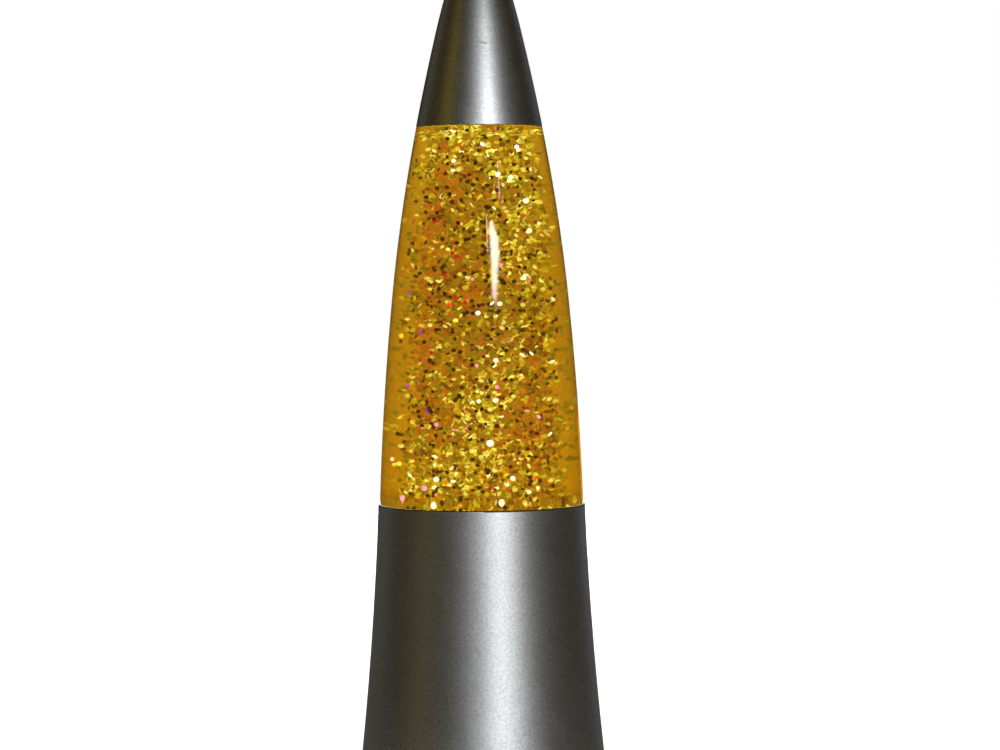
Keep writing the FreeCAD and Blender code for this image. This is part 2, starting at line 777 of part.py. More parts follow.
body = new_body("terminal_screws")
clamp = [
    (0, tube_z + 1.2),
    (1.2, tube_z + 1.2),
    (1.2, tube_z + 3.6),
    (1.7, tube_z + 3.6),
    (1.7, tube_z + 5.2),
    (1.4, tube_z + 5.5),
    (0, tube_z + 5.5),
]
for k, (x, y) in enumerate(((5.3, -3.5), (-5.3, -3.5), (5.3, 3.5), (-5.3, 3.5))):
    turned(body, "clamp_%d" % k, clamp, shift=(x, 0, -(block_y + y)))

# --------------------------------------------------------------------------
# Inlet grommet: rubber, snapped into the hole at the back of the shell
# --------------------------------------------------------------------------
body = new_body("cord_grommet")
turned(body, "grommet", [
    (inlet_bore_radius, -4.4),
    (6.2, -4.4, 1.2, "r"),
    (6.7, -3.4),
    (6.7, -2.0),
    (4.8, -2.0),
    (4.8, 0.25),
    (6.5, 0.25),
    (6.3, 0.75, 1.2, "r"),
    (5.0, 1.2),
    (inlet_bore_radius + 0.4, 1.2, 0.4, "l"),
    (inlet_bore_radius, 0.8),
])
place(body, (0, inlet_reach, inlet_height), axis=(1, 0, 0), angle=inlet_tilt - 90.0)

# --------------------------------------------------------------------------
# Reflector bulb
# --------------------------------------------------------------------------
body = new_body("bulb_contact")
turned(body, "tip", [
    (0, bulb_low, 5.0, "r"),
    (3.2, bulb_low + 1.1),
    (3.2, bulb_low + 1.5),
    (0, bulb_low + 1.5),
])
body = new_body("bulb_insulator")
turned(body, "cone", [
    (0, bulb_low + 1.55),
    (3.6, bulb_low + 1.55),
    (5.9, cap_low - 0.5),
    (5.9, cap_low - 0.1),
    (0, cap_low - 0.1),
])
body = new_body("bulb_screw_cap")
knuckle = []
z = cap_low + 0.9
for k in range(4):
    knuckle.append((thread_root, z, 1.05, "r"))
    knuckle.append((thread_root, z + 1.95))
    z = z + thread_pitch
turned(body, "cap", [
    (5.3, cap_low),
    (6.0, cap_low),
    (thread_root, cap_low + 0.4),
] + knuckle + [
    (thread_root, 61.6),
    (6.6, 62.0),
    (8.1, 62.3, 0.4, "r"),
    (8.5, 62.7),
    (8.5, 66.5),
    (8.1, 66.5),
    (8.1, 62.75),
    (5.85, 62.4),
    (5.85, cap_low + 0.4),
    (5.3, cap_low + 0.4),
])
body = new_body("bulb_glass")
turned(body, "envelope", [
    (7.6, 63.2),
    (7.8, 69.0, 26.0, "l"),
    (11.2, 78.0, 34.0, "r"),
    (bulb_radius - 0.4, 96.4, 13.7, "r"),
    (bulb_radius - 0.95, 101.6, 6.0, "r"),
    (bulb_radius - 3.5, 105.6, 34.0, "r"),
    (0, bulb_top),
    (0, bulb_top - 0.8, 33.2, "l"),
    (bulb_radius - 3.8, 104.9, 5.2, "l"),
    (bulb_radius - 1.75, 101.4, 12.9, "l"),
    (bulb_radius - 1.2, 96.5, 33.2, "l"),
    (10.5, 78.3, 26.8, "r"),
    (7.0, 69.1),
    (6.8, 63.2),
])
body = new_body("bulb_stem")
turned(body, "stem", [
    (0, 57.0),
    (1.3, 57.0),
    (1.4, 63.6),
    (6.2, 63.6),
    (6.5, 64.2),
    (3.4, 67.6, 6.0, "l"),
    (2.5, 72.0),
    (2.2, 84.0, 2.2, "r"),
    (0, 85.6),
])
tilt = math.degrees(math.atan2(4.6, 9.0))
rod_length = math.hypot(4.6, 9.0)
rods = []
for side in (-1, 1):
    rod = doc.addObject("Part::Cylinder", "lead_wire_%s" % ("left" if side < 0 else "right"))
    rod.Radius = 0.3
    rod.Height = rod_length - 0.5
    place(rod, (side * 1.4, 0, 83.0), axis=(0, 1, 0), angle=side * tilt)
    rods.append(rod)
group = doc.addObject("Part::Compound", "bulb_leads")
group.Label = "bulb_leads"
group.Links = rods
pieces.append(("bulb_leads", group))
body = new_body("bulb_filament")
sk = new_sketch(body, "wire_outline", "XZ_Plane")
circles(sk, [(6.0, 92.3, 0.42)])
rev = body.newObject("PartDesign::Revolution", "arc")
rev.Profile = sk
rev.ReferenceAxis = (sk, ["V_Axis"])
rev.Angle = 180.0
body.Tip = rev

# --------------------------------------------------------------------------
# Bottle: one moulding, with a foot that stands in the cradle, long tapering
# sides, a ledge for the cap, and a mouth with a crown finish.
# --------------------------------------------------------------------------
g = glass_wall
body = new_body("bottle_glass")
turned(body, "moulding", [
    (0, bottle_low + 3.95, 123.6, "l"),
    (31.0, bottle_low),
    (38.0, bottle_low, 7.0, "r"),
    (heel_radius, bottle_low + 7.0),
    (heel_radius, rim_height + 0.2, 0.75, "r"),
    (belly_radius, rim_height + 0.95),
    (belly_radius, rim_height + 1.6, lower_sweep, "r"),
    (waist_radius, waist_height, upper_sweep, "r"),
    (ledge_radius, ledge_height - 0.9, 0.9, "r"),
    (ledge_radius - 0.89, ledge_height),
    (spigot_radius + 0.3, ledge_height, 0.35, "l"),
    (spigot_radius, ledge_height + 0.35),
    (24.3, 320.0, 14.0, "r"),
    (13.6, 332.2, 2.0, "l"),
    (12.6, 334.5),
    (12.6, 338.0),
    (13.3, 338.7),
    (13.3, mouth_height - 2.5, 2.5, "r"),
    (10.8, mouth_height),
    (mouth_bore + 0.8, mouth_height, 0.8, "l"),
    (mouth_bore, mouth_height - 0.8),
    (mouth_bore, 332.5, 2.5, "r"),
    (9.4, 330.4, 12.5, "l"),
    (21.6, liquid_level + 0.1),
    (25.65, 311.5, upper_sweep - g, "l"),
    (waist_radius - g, waist_height, lower_sweep - g, "l"),
    (belly_radius - g, 146.6),
    (heel_radius - g, 139.0),
    (heel_radius - g, 136.0, 6.0, "l"),
    (heel_radius - g - 6.0, 130.0),
    (31.0, bottle_low + g + 0.3, 127.0, "r"),
    (0, bottle_low + 3.95 + g),
])

# the liquid fills the hollow with a film's clearance to the wall
f = 0.06
body = new_body("bottle_liquid")
turned(body, "filling", [
    (0, bottle_low + 3.95 + g + f, 127.0, "l"),
    (31.0, bottle_low + g + 0.3 + f),
    (heel_radius - g - 6.0, 130.0 + f, 6.0 - f, "r"),
    (heel_radius - g - f, 136.0),
    (heel_radius - g - f, 139.0),
    (belly_radius - g - f, 146.6, lower_sweep - g - f, "r"),
    (waist_radius - g - f, waist_height, upper_sweep - g - f, "r"),
    (25.65 - f, 311.5),
    (21.6 - 0.08, liquid_level),
    (0, liquid_level),
])

body = new_body("crown_liner")
turned(body, "disc", [
    (0, mouth_height + 0.05),
    (12.0, mouth_height + 0.05),
    (12.2, mouth_height + 0.25),
    (12.2, mouth_height + 1.1),
    (0, mouth_height + 1.1),
])
body = new_body("crown_cap")
crown = mouth_height + 1.15
turned(body, "pressing", [
    (0, crown),
    (12.5, crown, 0.9, "l"),
    (13.4, crown - 0.9),
    (13.6, crown - 2.4),
    (15.7, crown - 5.9),
    (16.05, crown - 5.8),
    (13.95, crown - 2.2),
    (13.75, crown - 0.9, 1.25, "r"),
    (12.5, crown + 0.35),
    (0, crown + 0.35),
])
sk = new_sketch(body, "flute_outline", "XY_Plane", (0, 0, crown - 7.0))
circles(sk, [(16.75, 0, 1.15)])
flute = cut(body, "flute", sk, 4.2, up=True)
ring_of(body, "flutes", [flute], 21)

# --------------------------------------------------------------------------
# Top cap: one spun cone with a rounded nose and a turned-in edge, and the
# soft ring inside it that centres it on the bottle's spigot.
# --------------------------------------------------------------------------
w = cap_wall
body = new_body("top_cap")
turned(body, "spun_cone", [
    (cap_radius - 0.3, cap_edge, 0.3, "r"),
    (cap_radius, cap_edge + 0.3, cap_lower_sweep, "r"),
    (cap_mid_radius, cap_mid_height, cap_upper_sweep, "r"),
    (nose_radius, nose_height, nose_round, "r"),
    (0, nose_tip),
    (0, nose_tip - 2.6, 2.6, "l"),
    (nose_radius - 0.75, nose_height - 2.0, cap_upper_sweep - w, "l"),
    (cap_mid_radius - w, cap_mid_height - 0.2, cap_lower_sweep - w, "l"),
    (cap_radius - w - 0.05, cap_edge + 0.75),
    (cap_radius - 1.7, cap_edge + 0.55),
    (cap_radius - 1.7, cap_edge + 0.15),
    (cap_radius - 1.55, cap_edge),
])
body = new_body("cap_ring")
turned(body, "ring", [
    (spigot_radius + 0.35, 316.0),
    (27.15, 316.0),
    (26.5, 319.2),
    (spigot_radius + 0.35, 319.2),
])

doc.recompute()


# --------------------------------------------------------------------------
# Internal wires: a round wire along straight runs joined by tangent arcs.
# --------------------------------------------------------------------------
def route_wire(points):
    """Straight runs joined by tangent arcs, each as large as its runs allow."""
    pts = [Vec(*p) for p in points]
    edges = []
    radii = []
    start = pts[0]
    for i in range(1, len(pts) - 1):
        before, here, after = pts[i - 1], pts[i], pts[i + 1]
        u = (before - here)
        v = (after - here)
        shorter = min(u.Length, v.Length)
        u.normalize()
        v.normalize()
        turn = math.pi - u.getAngle(v)
        cut_back = 0.45 * shorter
        radius = cut_back / math.tan(turn / 2)
        radii.append(radius)
        a = here + u * cut_back
        b = here + v * cut_back
        bisector = (u + v)
        bisector.normalize()
        centre_far = math.hypot(radius, cut_back)
        mid = here + bisector * (centre_far - radius)
        edges.append(Part.LineSegment(start, a).toShape())
        edges.append(Part.Arc(a, mid, b).toShape())
        start = b
    edges.append(Part.LineSegment(start, pts[-1]).toShape())
    return Part.Wire(edges), radii


def wire_solid(label, points, radius):
    path, radii = route_wire(points)
    direction = Vec(*points[1]) - Vec(*points[0])
    section = Part.Wire([Part.Circle(Vec(*points[0]), direction, radius).toShape()])
    shape = path.makePipeShell([section], True, True)
    if not isinstance(shape, Part.Solid):
        shape = Part.Solid(shape) if isinstance(shape, Part.Shell) else shape
    expected = math.pi * radius * radius * path.Length
    print("%s: length %.1f, arcs %s, volume %.2f against %.2f" % (
        label, path.Length, ["%.1f" % r for r in radii], shape.Volume, expected))
    if abs(shape.Volume - expected) > 0.03 * expected:
        raise RuntimeError(label + " has the wrong volume")
    feature = doc.addObject("Part::Feature", label)
    feature.Label = label
    feature.Shape = shape
    pieces.append((label, feature))


tz = num(tube_z)
wire_solid("live_lead", [
    (-5.3, 32.6, tz), (-5.3, 20.0, tz), (-1.7, 9.0, 9.2), (-1.7, 0.0, 10.6),
    (-1.7, 0.0, 31.4), (-5.4, 0.0, 34.1),
], 1.0)
wire_solid("neutral_lead", [
    (5.3, 32.6, tz), (5.3, 19.5, tz), (1.7, 8.6, 9.4), (1.7, 0.0, 10.6),
    (1.7, 0.0, 31.4), (3.45, -4.1, 34.1),
], 1.0)


# --------------------------------------------------------------------------
# Glitter: hexagonal flakes spread through the liquid, each turned its own way
# --------------------------------------------------------------------------
def glitter():
    width = sheet.get("flake_width")
    thick = sheet.get("flake_thick")
    corner = float(width) / 2
    thick = float(thick)
    corners = [Vec(corner * math.cos(math.radians(60 * k)), corner * math.sin(math.radians(60 * k)), 0)
               for k in range(6)]
    face = Part.Face(Part.makePolygon(corners + [corners[0]]))
    flake = face.extrude(Vec(0, 0, thick))
    golden = math.pi * (3 - math.sqrt(5))
    out = []
    count = 120
    for k in range(count):
        share = (k + 0.5) / count
        height = 134.0 + 178.0 * share
        inner = 39.0 - 14.5 * max(0.0, (height - 200.0) / 112.0) ** 1.6
        reach = (inner - 4.0) * math.sqrt(((k * 37) % count + 0.5) / count)
        angle = k * golden
        spin = Rotation((k * 47.0) % 360, (k * 83.0) % 150 - 75, (k * 61.0) % 360)
        copy = flake.copy()
        copy.Placement = Placement(
            Vec(reach * math.cos(angle), reach * math.sin(angle), height), spin)
        out.append(copy)
    return Part.makeCompound(out)


feature = doc.addObject("Part::Feature", "glitter_flakes")
feature.Label = "glitter_flakes"
feature.Shape = glitter()
pieces.append(("glitter_flakes", feature))

doc.recompute()

# --------------------------------------------------------------------------
# Checks, then one file for each piece
# --------------------------------------------------------------------------
bad = []
for obj in doc.Objects:
    state = [str(s) for s in obj.State]
    if "Invalid" in state or "Error" in state:
        bad.append("%s: %s" % (obj.Name, ", ".join(state)))
for label, obj in pieces:
    if obj.Shape.isNull() or not obj.Shape.isValid() or not obj.Shape.Solids:
        bad.append("%s: shape is null, invalid or not solid" % label)
    elif obj.Shape.Volume <= 0:
        bad.append("%s: volume %.3f" % (label, obj.Shape.Volume))
if bad:
    raise RuntimeError("; ".join(bad))

os.makedirs("parts", exist_ok=True)
for label, obj in pieces:
    obj.Shape.exportStep(os.path.join("parts", label + ".step"))
    box = obj.Shape.BoundBox
    print("%-18s solids %3d  volume %10.1f  x %7.2f..%7.2f  y %7.2f..%7.2f  z %7.2f..%7.2f" % (
        label, len(obj.Shape.Solids), obj.Shape.Volume,
        box.XMin, box.XMax, box.YMin, box.YMax, box.ZMin, box.ZMax))
print("%d pieces" % len(pieces))
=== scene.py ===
"""Looks of the glitter lamp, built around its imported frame. Units are metres,
+Z is up, the lamp's axis is the Z axis and the camera stands at -Y."""

import json
import math

import bpy
import numpy as np
from mathutils import Matrix, Vector


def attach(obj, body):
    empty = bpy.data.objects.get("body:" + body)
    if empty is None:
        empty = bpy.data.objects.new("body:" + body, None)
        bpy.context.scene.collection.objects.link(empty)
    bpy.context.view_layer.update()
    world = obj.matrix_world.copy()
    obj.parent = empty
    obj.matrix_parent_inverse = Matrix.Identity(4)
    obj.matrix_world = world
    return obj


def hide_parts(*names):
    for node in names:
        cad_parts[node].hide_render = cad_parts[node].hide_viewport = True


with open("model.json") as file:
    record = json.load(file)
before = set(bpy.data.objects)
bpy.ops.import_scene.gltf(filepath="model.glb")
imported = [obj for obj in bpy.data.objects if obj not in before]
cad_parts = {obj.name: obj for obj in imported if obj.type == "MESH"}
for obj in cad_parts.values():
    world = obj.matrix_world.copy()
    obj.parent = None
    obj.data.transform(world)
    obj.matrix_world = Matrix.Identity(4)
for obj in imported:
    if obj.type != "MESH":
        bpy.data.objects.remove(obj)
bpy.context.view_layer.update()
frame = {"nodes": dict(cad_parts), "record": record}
nodes = frame["nodes"]
MM = 0.001


# --------------------------------------------------------------------------
# Camera: level of the bottle's middle, tipped down by two degrees
# --------------------------------------------------------------------------
def make_camera():
    data = bpy.data.cameras.new("photo_camera")
    data.sensor_fit = "HORIZONTAL"
    data.sensor_width = 36.0
    data.lens = 124.49
    data.clip_start = 0.05
    data.clip_end = 60.0
    data.dof.use_dof = False
    cam = bpy.data.objects.new("photo_camera", data)
    yaw, pitch, roll = (math.radians(a) for a in (-0.318, 2.07, -0.365))
    cam.matrix_world = (
        Matrix.Translation((0.0, -1.5526, 0.25985))
        @ Matrix.Rotation(yaw, 4, "Z")
        @ Matrix.Rotation(math.pi / 2 - pitch, 4, "X")
        @ Matrix.Rotation(roll, 4, "Z")
    )
    bpy.context.scene.collection.objects.link(cam)
    bpy.context.scene.camera = cam


make_camera()


# --------------------------------------------------------------------------
# Node helpers
# --------------------------------------------------------------------------
class Tree:
    """A material's node tree, with short ways to add and join its nodes."""

    def __init__(self, name):
        self.mat = bpy.data.materials.new(name)
        self.mat.use_nodes = True
        self.nt = self.mat.node_tree
        self.nt.nodes.clear()
        self.out = self.nt.nodes.new("ShaderNodeOutputMaterial")
        self.coords = None
        self.slots = {}

    def add(self, kind, **settings):
        node = self.nt.nodes.new(kind)
        for key, value in settings.items():
            setattr(node, key, value)
        return node

    def link(self, a, b):
        self.nt.links.new(a, b)

    def put(self, socket, value):
        """A value, a colour or another node's output into a socket."""
        if isinstance(value, bpy.types.NodeSocket):
            self.link(value, socket)
        else:
            socket.default_value = value

    def principled(self, **values):
        node = self.add("ShaderNodeBsdfPrincipled")
        for key, value in values.items():
            self.put(node.inputs[key], value)
        self.link(node.outputs[0], self.out.inputs["Surface"])
        self.bsdf = node
        return node

    def position(self):
        if self.coords is None:
            self.coords = self.add("ShaderNodeTexCoord").outputs["Object"]
        return self.coords

    def math(self, operation, a, b=None, c=None, clamp=False):
        node = self.add("ShaderNodeMath", operation=operation, use_clamp=clamp)
        for socket, value in zip(node.inputs, (a, b, c)):
            if value is not None:
                self.put(socket, value)
        return node.outputs[0]

    def mapped(self, scale=(1, 1, 1), shift=(0, 0, 0), turn=(0, 0, 0), source=None):
        node = self.add("ShaderNodeMapping")
        node.inputs["Location"].default_value = shift
        node.inputs["Rotation"].default_value = turn
        node.inputs["Scale"].default_value = scale
        self.link(source or self.position(), node.inputs["Vector"])
        return node.outputs[0]

    def round_position(self, reach=0.05):
        """Angle round the Z axis times reach, the radius, and the height: a
        flat sheet's coordinates for something turned on a lathe."""
        split = self.add("ShaderNodeSeparateXYZ")
        self.link(self.position(), split.inputs[0])
        x, y, z = split.outputs
        angle = self.math("ARCTAN2", y, x)
        radius = self.math(
            "SQRT", self.math("ADD", self.math("MULTIPLY", x, x), self.math("MULTIPLY", y, y))
        )
        join = self.add("ShaderNodeCombineXYZ")
        self.link(self.math("MULTIPLY", angle, reach), join.inputs[0])
        self.link(radius, join.inputs[1])
        self.link(z, join.inputs[2])
        return join.outputs[0]

    def noise(self, scale, detail=2.0, rough=0.5, source=None, distortion=0.0, out="Fac"):
        node = self.add("ShaderNodeTexNoise")
        node.inputs["Scale"].default_value = scale
        node.inputs["Detail"].default_value = detail
        node.inputs["Roughness"].default_value = rough
        node.inputs["Distortion"].default_value = distortion
        self.link(source or self.position(), node.inputs["Vector"])
        return node.outputs[out]

    def cells(self, scale, feature="F1", source=None, out="Distance", randomness=1.0):
        node = self.add("ShaderNodeTexVoronoi", feature=feature)
        node.inputs["Scale"].default_value = scale
        node.inputs["Randomness"].default_value = randomness
        self.link(source or self.position(), node.inputs["Vector"])
        return node.outputs[out]

    def ranged(self, value, from_low, from_high, to_low, to_high, smooth=False):
        node = self.add(
            "ShaderNodeMapRange", interpolation_type="SMOOTHSTEP" if smooth else "LINEAR"
        )
        self.put(node.inputs["Value"], value)
        for name, number in zip(
            ("From Min", "From Max", "To Min", "To Max"),
            (from_low, from_high, to_low, to_high),
        ):
            self.put(node.inputs[name], number)
        return node.outputs["Result"]

    def ramp(self, value, stops, smooth=False):
        node = self.add("ShaderNodeValToRGB")
        node.color_ramp.interpolation = "EASE" if smooth else "LINEAR"
        elements = node.color_ramp.elements
        while len(elements) < len(stops):
            elements.new(0.5)
        for element, (position, colour) in zip(elements, stops):
            element.position = position
            element.color = (*colour[:3], 1.0)
        self.put(node.inputs["Fac"], value)
        return node.outputs["Color"]

    def blended(self, fac, a, b, kind="MIX"):
        node = self.add("ShaderNodeMix", data_type="RGBA", blend_type=kind)
        self.put(node.inputs[0], fac)
        for socket, value in ((node.inputs[6], a), (node.inputs[7], b)):
            self.put(socket, value if isinstance(value, bpy.types.NodeSocket) else (*value[:3], 1.0))
        return node.outputs[2]

    def bump(self, height, distance, strength=1.0, normal=None):
        node = self.add("ShaderNodeBump")
        node.inputs["Strength"].default_value = strength
        node.inputs["Distance"].default_value = distance
        self.link(height, node.inputs["Height"])
        if normal is not None:
            self.link(normal, node.inputs["Normal"])
        return node.outputs["Normal"]

    def lamps_pass(self, tint=(1, 1, 1)):
        """Lets the lamps' light through a clear surface, which would else
        stop it: shadow rays meet a transparent shader."""
        path = self.add("ShaderNodeLightPath")
        clear = self.add("ShaderNodeBsdfTransparent")
        clear.inputs["Color"].default_value = (*tint, 1.0)
        mix = self.add("ShaderNodeMixShader")
        self.link(path.outputs["Is Shadow Ray"], mix.inputs[0])
        self.link(self.bsdf.outputs[0], mix.inputs[1])
        self.link(clear.outputs[0], mix.inputs[2])
        self.link(mix.outputs[0], self.out.inputs["Surface"])


# --------------------------------------------------------------------------
# Turned meshes: an outline in radius and height, in mm, swept round the axis
# --------------------------------------------------------------------------
def arc_points(p, q, radius, side, step):
    """Points after p up to q along the minor arc that bulges to that side."""
    dx, dy = q[0] - p[0], q[1] - p[1]
    length = math.hypot(dx, dy)
    half = length / 2
    if abs(p[0]) < 1e-9 or abs(q[0]) < 1e-9:
        radius = length * length / (2 * abs(dy))
    radius = max(radius, half)
    away = math.sqrt(radius * radius - half * half)
    nx, ny = -dy / length, dx / length
    sign = 1.0 if side == "r" else -1.0
    cx = (p[0] + q[0]) / 2 + sign * nx * away
    cy = (p[1] + q[1]) / 2 + sign * ny * away
    ap = math.atan2(p[1] - cy, p[0] - cx)
    aq = math.atan2(q[1] - cy, q[0] - cx)
    if side == "r":
        while aq < ap:
            aq += 2 * math.pi
    else:
        while aq > ap:
            aq -= 2 * math.pi
    turn = aq - ap
    count = max(2, math.ceil(abs(turn) / math.radians(step)), math.ceil(length / 3.0))
    return [
        (cx + radius * math.cos(ap + turn * i / count), cy + radius * math.sin(ap + turn * i / count))
        for i in range(1, count)
    ] + [(q[0], q[1])]


def outline(vertices, step=7.5):
    """The points of an outline whose vertices are (r, z), or (r, z, radius,
    side) where an arc leads to the next vertex."""
    points = []
    for i, v in enumerate(vertices):
        p, q = v[:2], vertices[(i + 1) % len(vertices)][:2]
        if i == 0:
            points.append(tuple(p))
        if len(v) == 4:
            points.extend(arc_points(p, q, v[2], v[3], step))
        else:
            points.append(tuple(q))
    if math.dist(points[0], points[-1]) < 1e-7:
        points.pop()
    return points


def new_object(name, verts, faces, material=None, smooth=True, sharp=35.0):
    mesh = bpy.data.meshes.new(name)
    mesh.from_pydata(verts, [], faces)
    mesh.validate()
    obj = bpy.data.objects.new(name, mesh)
    bpy.context.scene.collection.objects.link(obj)
    if smooth:
        mesh.polygons.foreach_set("use_smooth", [True] * len(mesh.polygons))
        mesh.set_sharp_from_angle(angle=math.radians(sharp))
    if material is not None:
        mesh.materials.append(material)
    return obj


def lathe(name, vertices, segments=192, material=None, sharp=35.0, step=7.5, closed=True):
    """A solid of revolution about the Z axis. Its outline runs so that the
    material is on its left, seen with the radius to the right and Z up."""
    points = outline(vertices, step) if closed else vertices
    rings, verts = [], []
    for r, z in points:
        if abs(r) < 1e-7:
            rings.append([len(verts)])
            verts.append((0.0, 0.0, z * MM))
        else:
            rings.append(list(range(len(verts), len(verts) + segments)))
            for k in range(segments):
                a = 2 * math.pi * k / segments
                verts.append((r * math.cos(a) * MM, r * math.sin(a) * MM, z * MM))
    faces = []
    for i in range(len(rings)):
        a, b = rings[i], rings[(i + 1) % len(rings)]
        if len(a) == 1 and len(b) == 1:
            continue
        for k in range(segments):
            n = (k + 1) % segments
            if len(a) == 1:
                faces.append((a[0], b[n], b[k]))
            elif len(b) == 1:
                faces.append((a[k], a[n], b[0]))
            else:
                faces.append((a[k], a[n], b[n], b[k]))
    return new_object(name, verts, faces, material, sharp=sharp)


# --------------------------------------------------------------------------
# Materials
# --------------------------------------------------------------------------
def satin_silver():
    """Satin metal. Its inner face, which looks towards the lamp's axis, glows with
    painted light that stands for the bulb's, most of all round the bottle."""
    t = Tree("satin_silver")
    coords = t.add("ShaderNodeTexCoord")
    t.coords = coords.outputs["Object"]
    across = t.add("ShaderNodeVectorMath", operation="MULTIPLY")
    t.link(coords.outputs["Normal"], across.inputs[0])
    t.link(coords.outputs["Object"], across.inputs[1])
    split = t.add("ShaderNodeSeparateXYZ")
    t.link(across.outputs[0], split.inputs[0])
    outward = t.math("ADD", split.outputs[0], split.outputs[1])
    place = t.add("ShaderNodeSeparateXYZ")
    t.link(coords.outputs["Object"], place.inputs[0])
    # painted light: the inner face glows as if the bulb lit it, more so towards the rim
    inside = t.math("LESS_THAN", outward, -0.012)
    near = t.ranged(place.outputs[2], 0.125, 0.1455, 0.0, 1.0, smooth=True)
    below_cap = t.math("LESS_THAN", place.outputs[2], 0.1459)
    lit = t.math("MULTIPLY", t.math("MULTIPLY", inside, near), below_cap)
    # the rim itself: painted shade, dark all round, and a painted glow on the side
    # away from the camera, standing for light through the bottle
    rim = t.math(
        "MULTIPLY",
        t.ranged(place.outputs[2], 0.14545, 0.14575, 0.0, 1.0, smooth=True),
        t.math("LESS_THAN", place.outputs[2], 0.16),
    )
    behind = t.ranged(place.outputs[1], 0.0, 0.02, 0.0, 1.0, smooth=True)
    lit = t.math("MAXIMUM", lit, t.math("MULTIPLY", rim, behind))
    fine = t.noise(1050.0, 2.5, 0.6)
    soft = t.noise(90.0, 3.0, 0.55)
    around = t.noise(900.0, 2.0, 0.5, source=t.mapped((0.12, 0.12, 1.0)))
    height = t.math("ADD", fine, t.math("MULTIPLY", around, 0.5))
    grey = t.ranged(fine, 0.22, 0.78, 0.475, 0.845)
    grain = t.add("ShaderNodeCombineColor")
    # painted shade: the rim's base colour is darkened to a tenth
    grey = t.math("MULTIPLY", grey, t.ranged(rim, 0.0, 1.0, 1.0, 0.10))
    # small nicks that run round the cap
    nicks = t.ranged(t.noise(430.0, 1.0, 0.5, source=t.mapped((0.42, 0.42, 2.0))), 0.735, 0.77, 0.0, 1.0)
    on_cap = t.math("GREATER_THAN", place.outputs[2], 0.30)
    nicks = t.math("MULTIPLY", nicks, on_cap)
    grey = t.math("MULTIPLY", grey, t.ranged(nicks, 0.0, 1.0, 1.0, 0.55))
    for socket, share in zip(grain.inputs, (1.0, 1.006, 1.0)):
        t.link(t.math("MULTIPLY", grey, share), socket)
    t.principled(
        **{
            "Base Color": grain.outputs[0],
            "Metallic": 1.0,
            "Roughness": t.ranged(soft, 0.3, 0.7, 0.395, 0.425),
            "Normal": t.bump(height, 0.00001, 0.5),
            # the painted glow of the inner face and of the rim's back half
            "Emission Color": (1.0, 0.74, 0.25, 1.0),
            "Emission Strength": t.math("MULTIPLY", lit, 0.50),
        }
    )
    return t.mat


def plain_metal(name, colour, rough, grain=1500.0, depth=0.00001, streak=(1, 1, 1)):
    t = Tree(name)
    n = t.noise(grain, 3.0, 0.6, source=t.mapped(streak))
    wide = t.noise(60.0, 3.0, 0.5)
    t.principled(
        **{
            "Base Color": t.blended(
                wide, tuple(0.85 * c for c in colour), tuple(min(1.0, 1.1 * c) for c in colour)
            ),
            "Metallic": 1.0,
            "Roughness": t.ranged(n, 0.2, 0.8, rough - 0.06, rough + 0.08),
            "Normal": t.bump(n, depth, 0.5),
        }
    )
    return t.mat


def plain_plastic(name, colour, rough, grain=700.0, depth=0.00003, ior=1.5, sheen=0.0):
    t = Tree(name)
    n = t.noise(grain, 3.0, 0.6)
    wide = t.noise(45.0, 2.0, 0.5)
    t.principled(
        **{
            "Base Color": t.blended(
                wide, tuple(0.9 * c for c in colour), tuple(min(1.0, 1.08 * c) for c in colour)
            ),
            "Roughness": t.ranged(n, 0.2, 0.8, rough - 0.06, rough + 0.06),
            "IOR": ior,
            "Normal": t.bump(n, depth, 0.5),
        }
    )
    return t.mat


def clear_glass(name, tint, ior, rough=0.0, waves=0.00005):
    """Moulded glass, with the faint waves that the mould leaves."""
    t = Tree(name)
    slow = t.noise(30.0, 2.0, 0.5)
    ripple = t.noise(140.0, 2.0, 0.5, source=t.mapped((1.0, 1.0, 0.35)))
    height = t.math("ADD", slow, t.math("MULTIPLY", ripple, 0.12))
    t.principled(
        **{
            "Base Color": (*tint, 1.0),
            "Roughness": rough,
            "IOR": ior,
            "Transmission Weight": 1.0,
            "Normal": t.bump(height, waves, 1.0),
        }
    )
    t.lamps_pass()
    return t.mat


BULB_COAT_TOP = 0.1003  # metres, the bulb's widest place


def reflector_glass(name):
    """The bulb: a mirror coat inside up to its widest place, and a frosted,
    glowing dome above it."""
    t = Tree(name)
    split = t.add("ShaderNodeSeparateXYZ")
    t.link(t.position(), split.inputs[0])
    z = t.math("ADD", split.outputs[2], t.ranged(t.noise(160.0, 2.0, 0.5), 0.0, 1.0, -0.0006, 0.0006))
    coat = t.ranged(z, BULB_COAT_TOP - 0.0006, BULB_COAT_TOP + 0.0006, 1.0, 0.0, smooth=True)
    glow = t.ranged(z, BULB_COAT_TOP, BULB_COAT_TOP + 0.008, 0.35, 0.72, smooth=True)
    frost = t.noise(2400.0, 2.0, 0.6)
    t.principled(
        **{
            "Base Color": t.blended(coat, (0.93, 0.91, 0.86), (0.86, 0.86, 0.85)),
            "Metallic": coat,
            "Roughness": t.math(
                "ADD", t.ranged(coat, 0.0, 1.0, 0.42, 0.10), t.ranged(frost, 0.2, 0.8, 0.0, 0.08)
            ),
            "Emission Color": (1.0, 0.82, 0.52, 1.0),
            "Emission Strength": t.math("MULTIPLY", glow, t.math("SUBTRACT", 1.0, coat)),
            "Normal": t.bump(frost, 0.00001, 0.4),
        }
    )
    t.lamps_pass()
    return t.mat


def glowing_wire(name):
    t = Tree(name)
    n = t.noise(3000.0, 2.0, 0.5)
    t.principled(
        **{
            "Base Color": t.blended(n, (0.42, 0.40, 0.38), (0.58, 0.55, 0.50)),
            "Metallic": 1.0,
            "Roughness": t.ranged(n, 0.2, 0.8, 0.35, 0.5),
            "Emission Color": t.blended(n, (1.0, 0.62, 0.25), (1.0, 0.72, 0.36)),
            "Emission Strength": 4.0,
        }
    )
    return t.mat


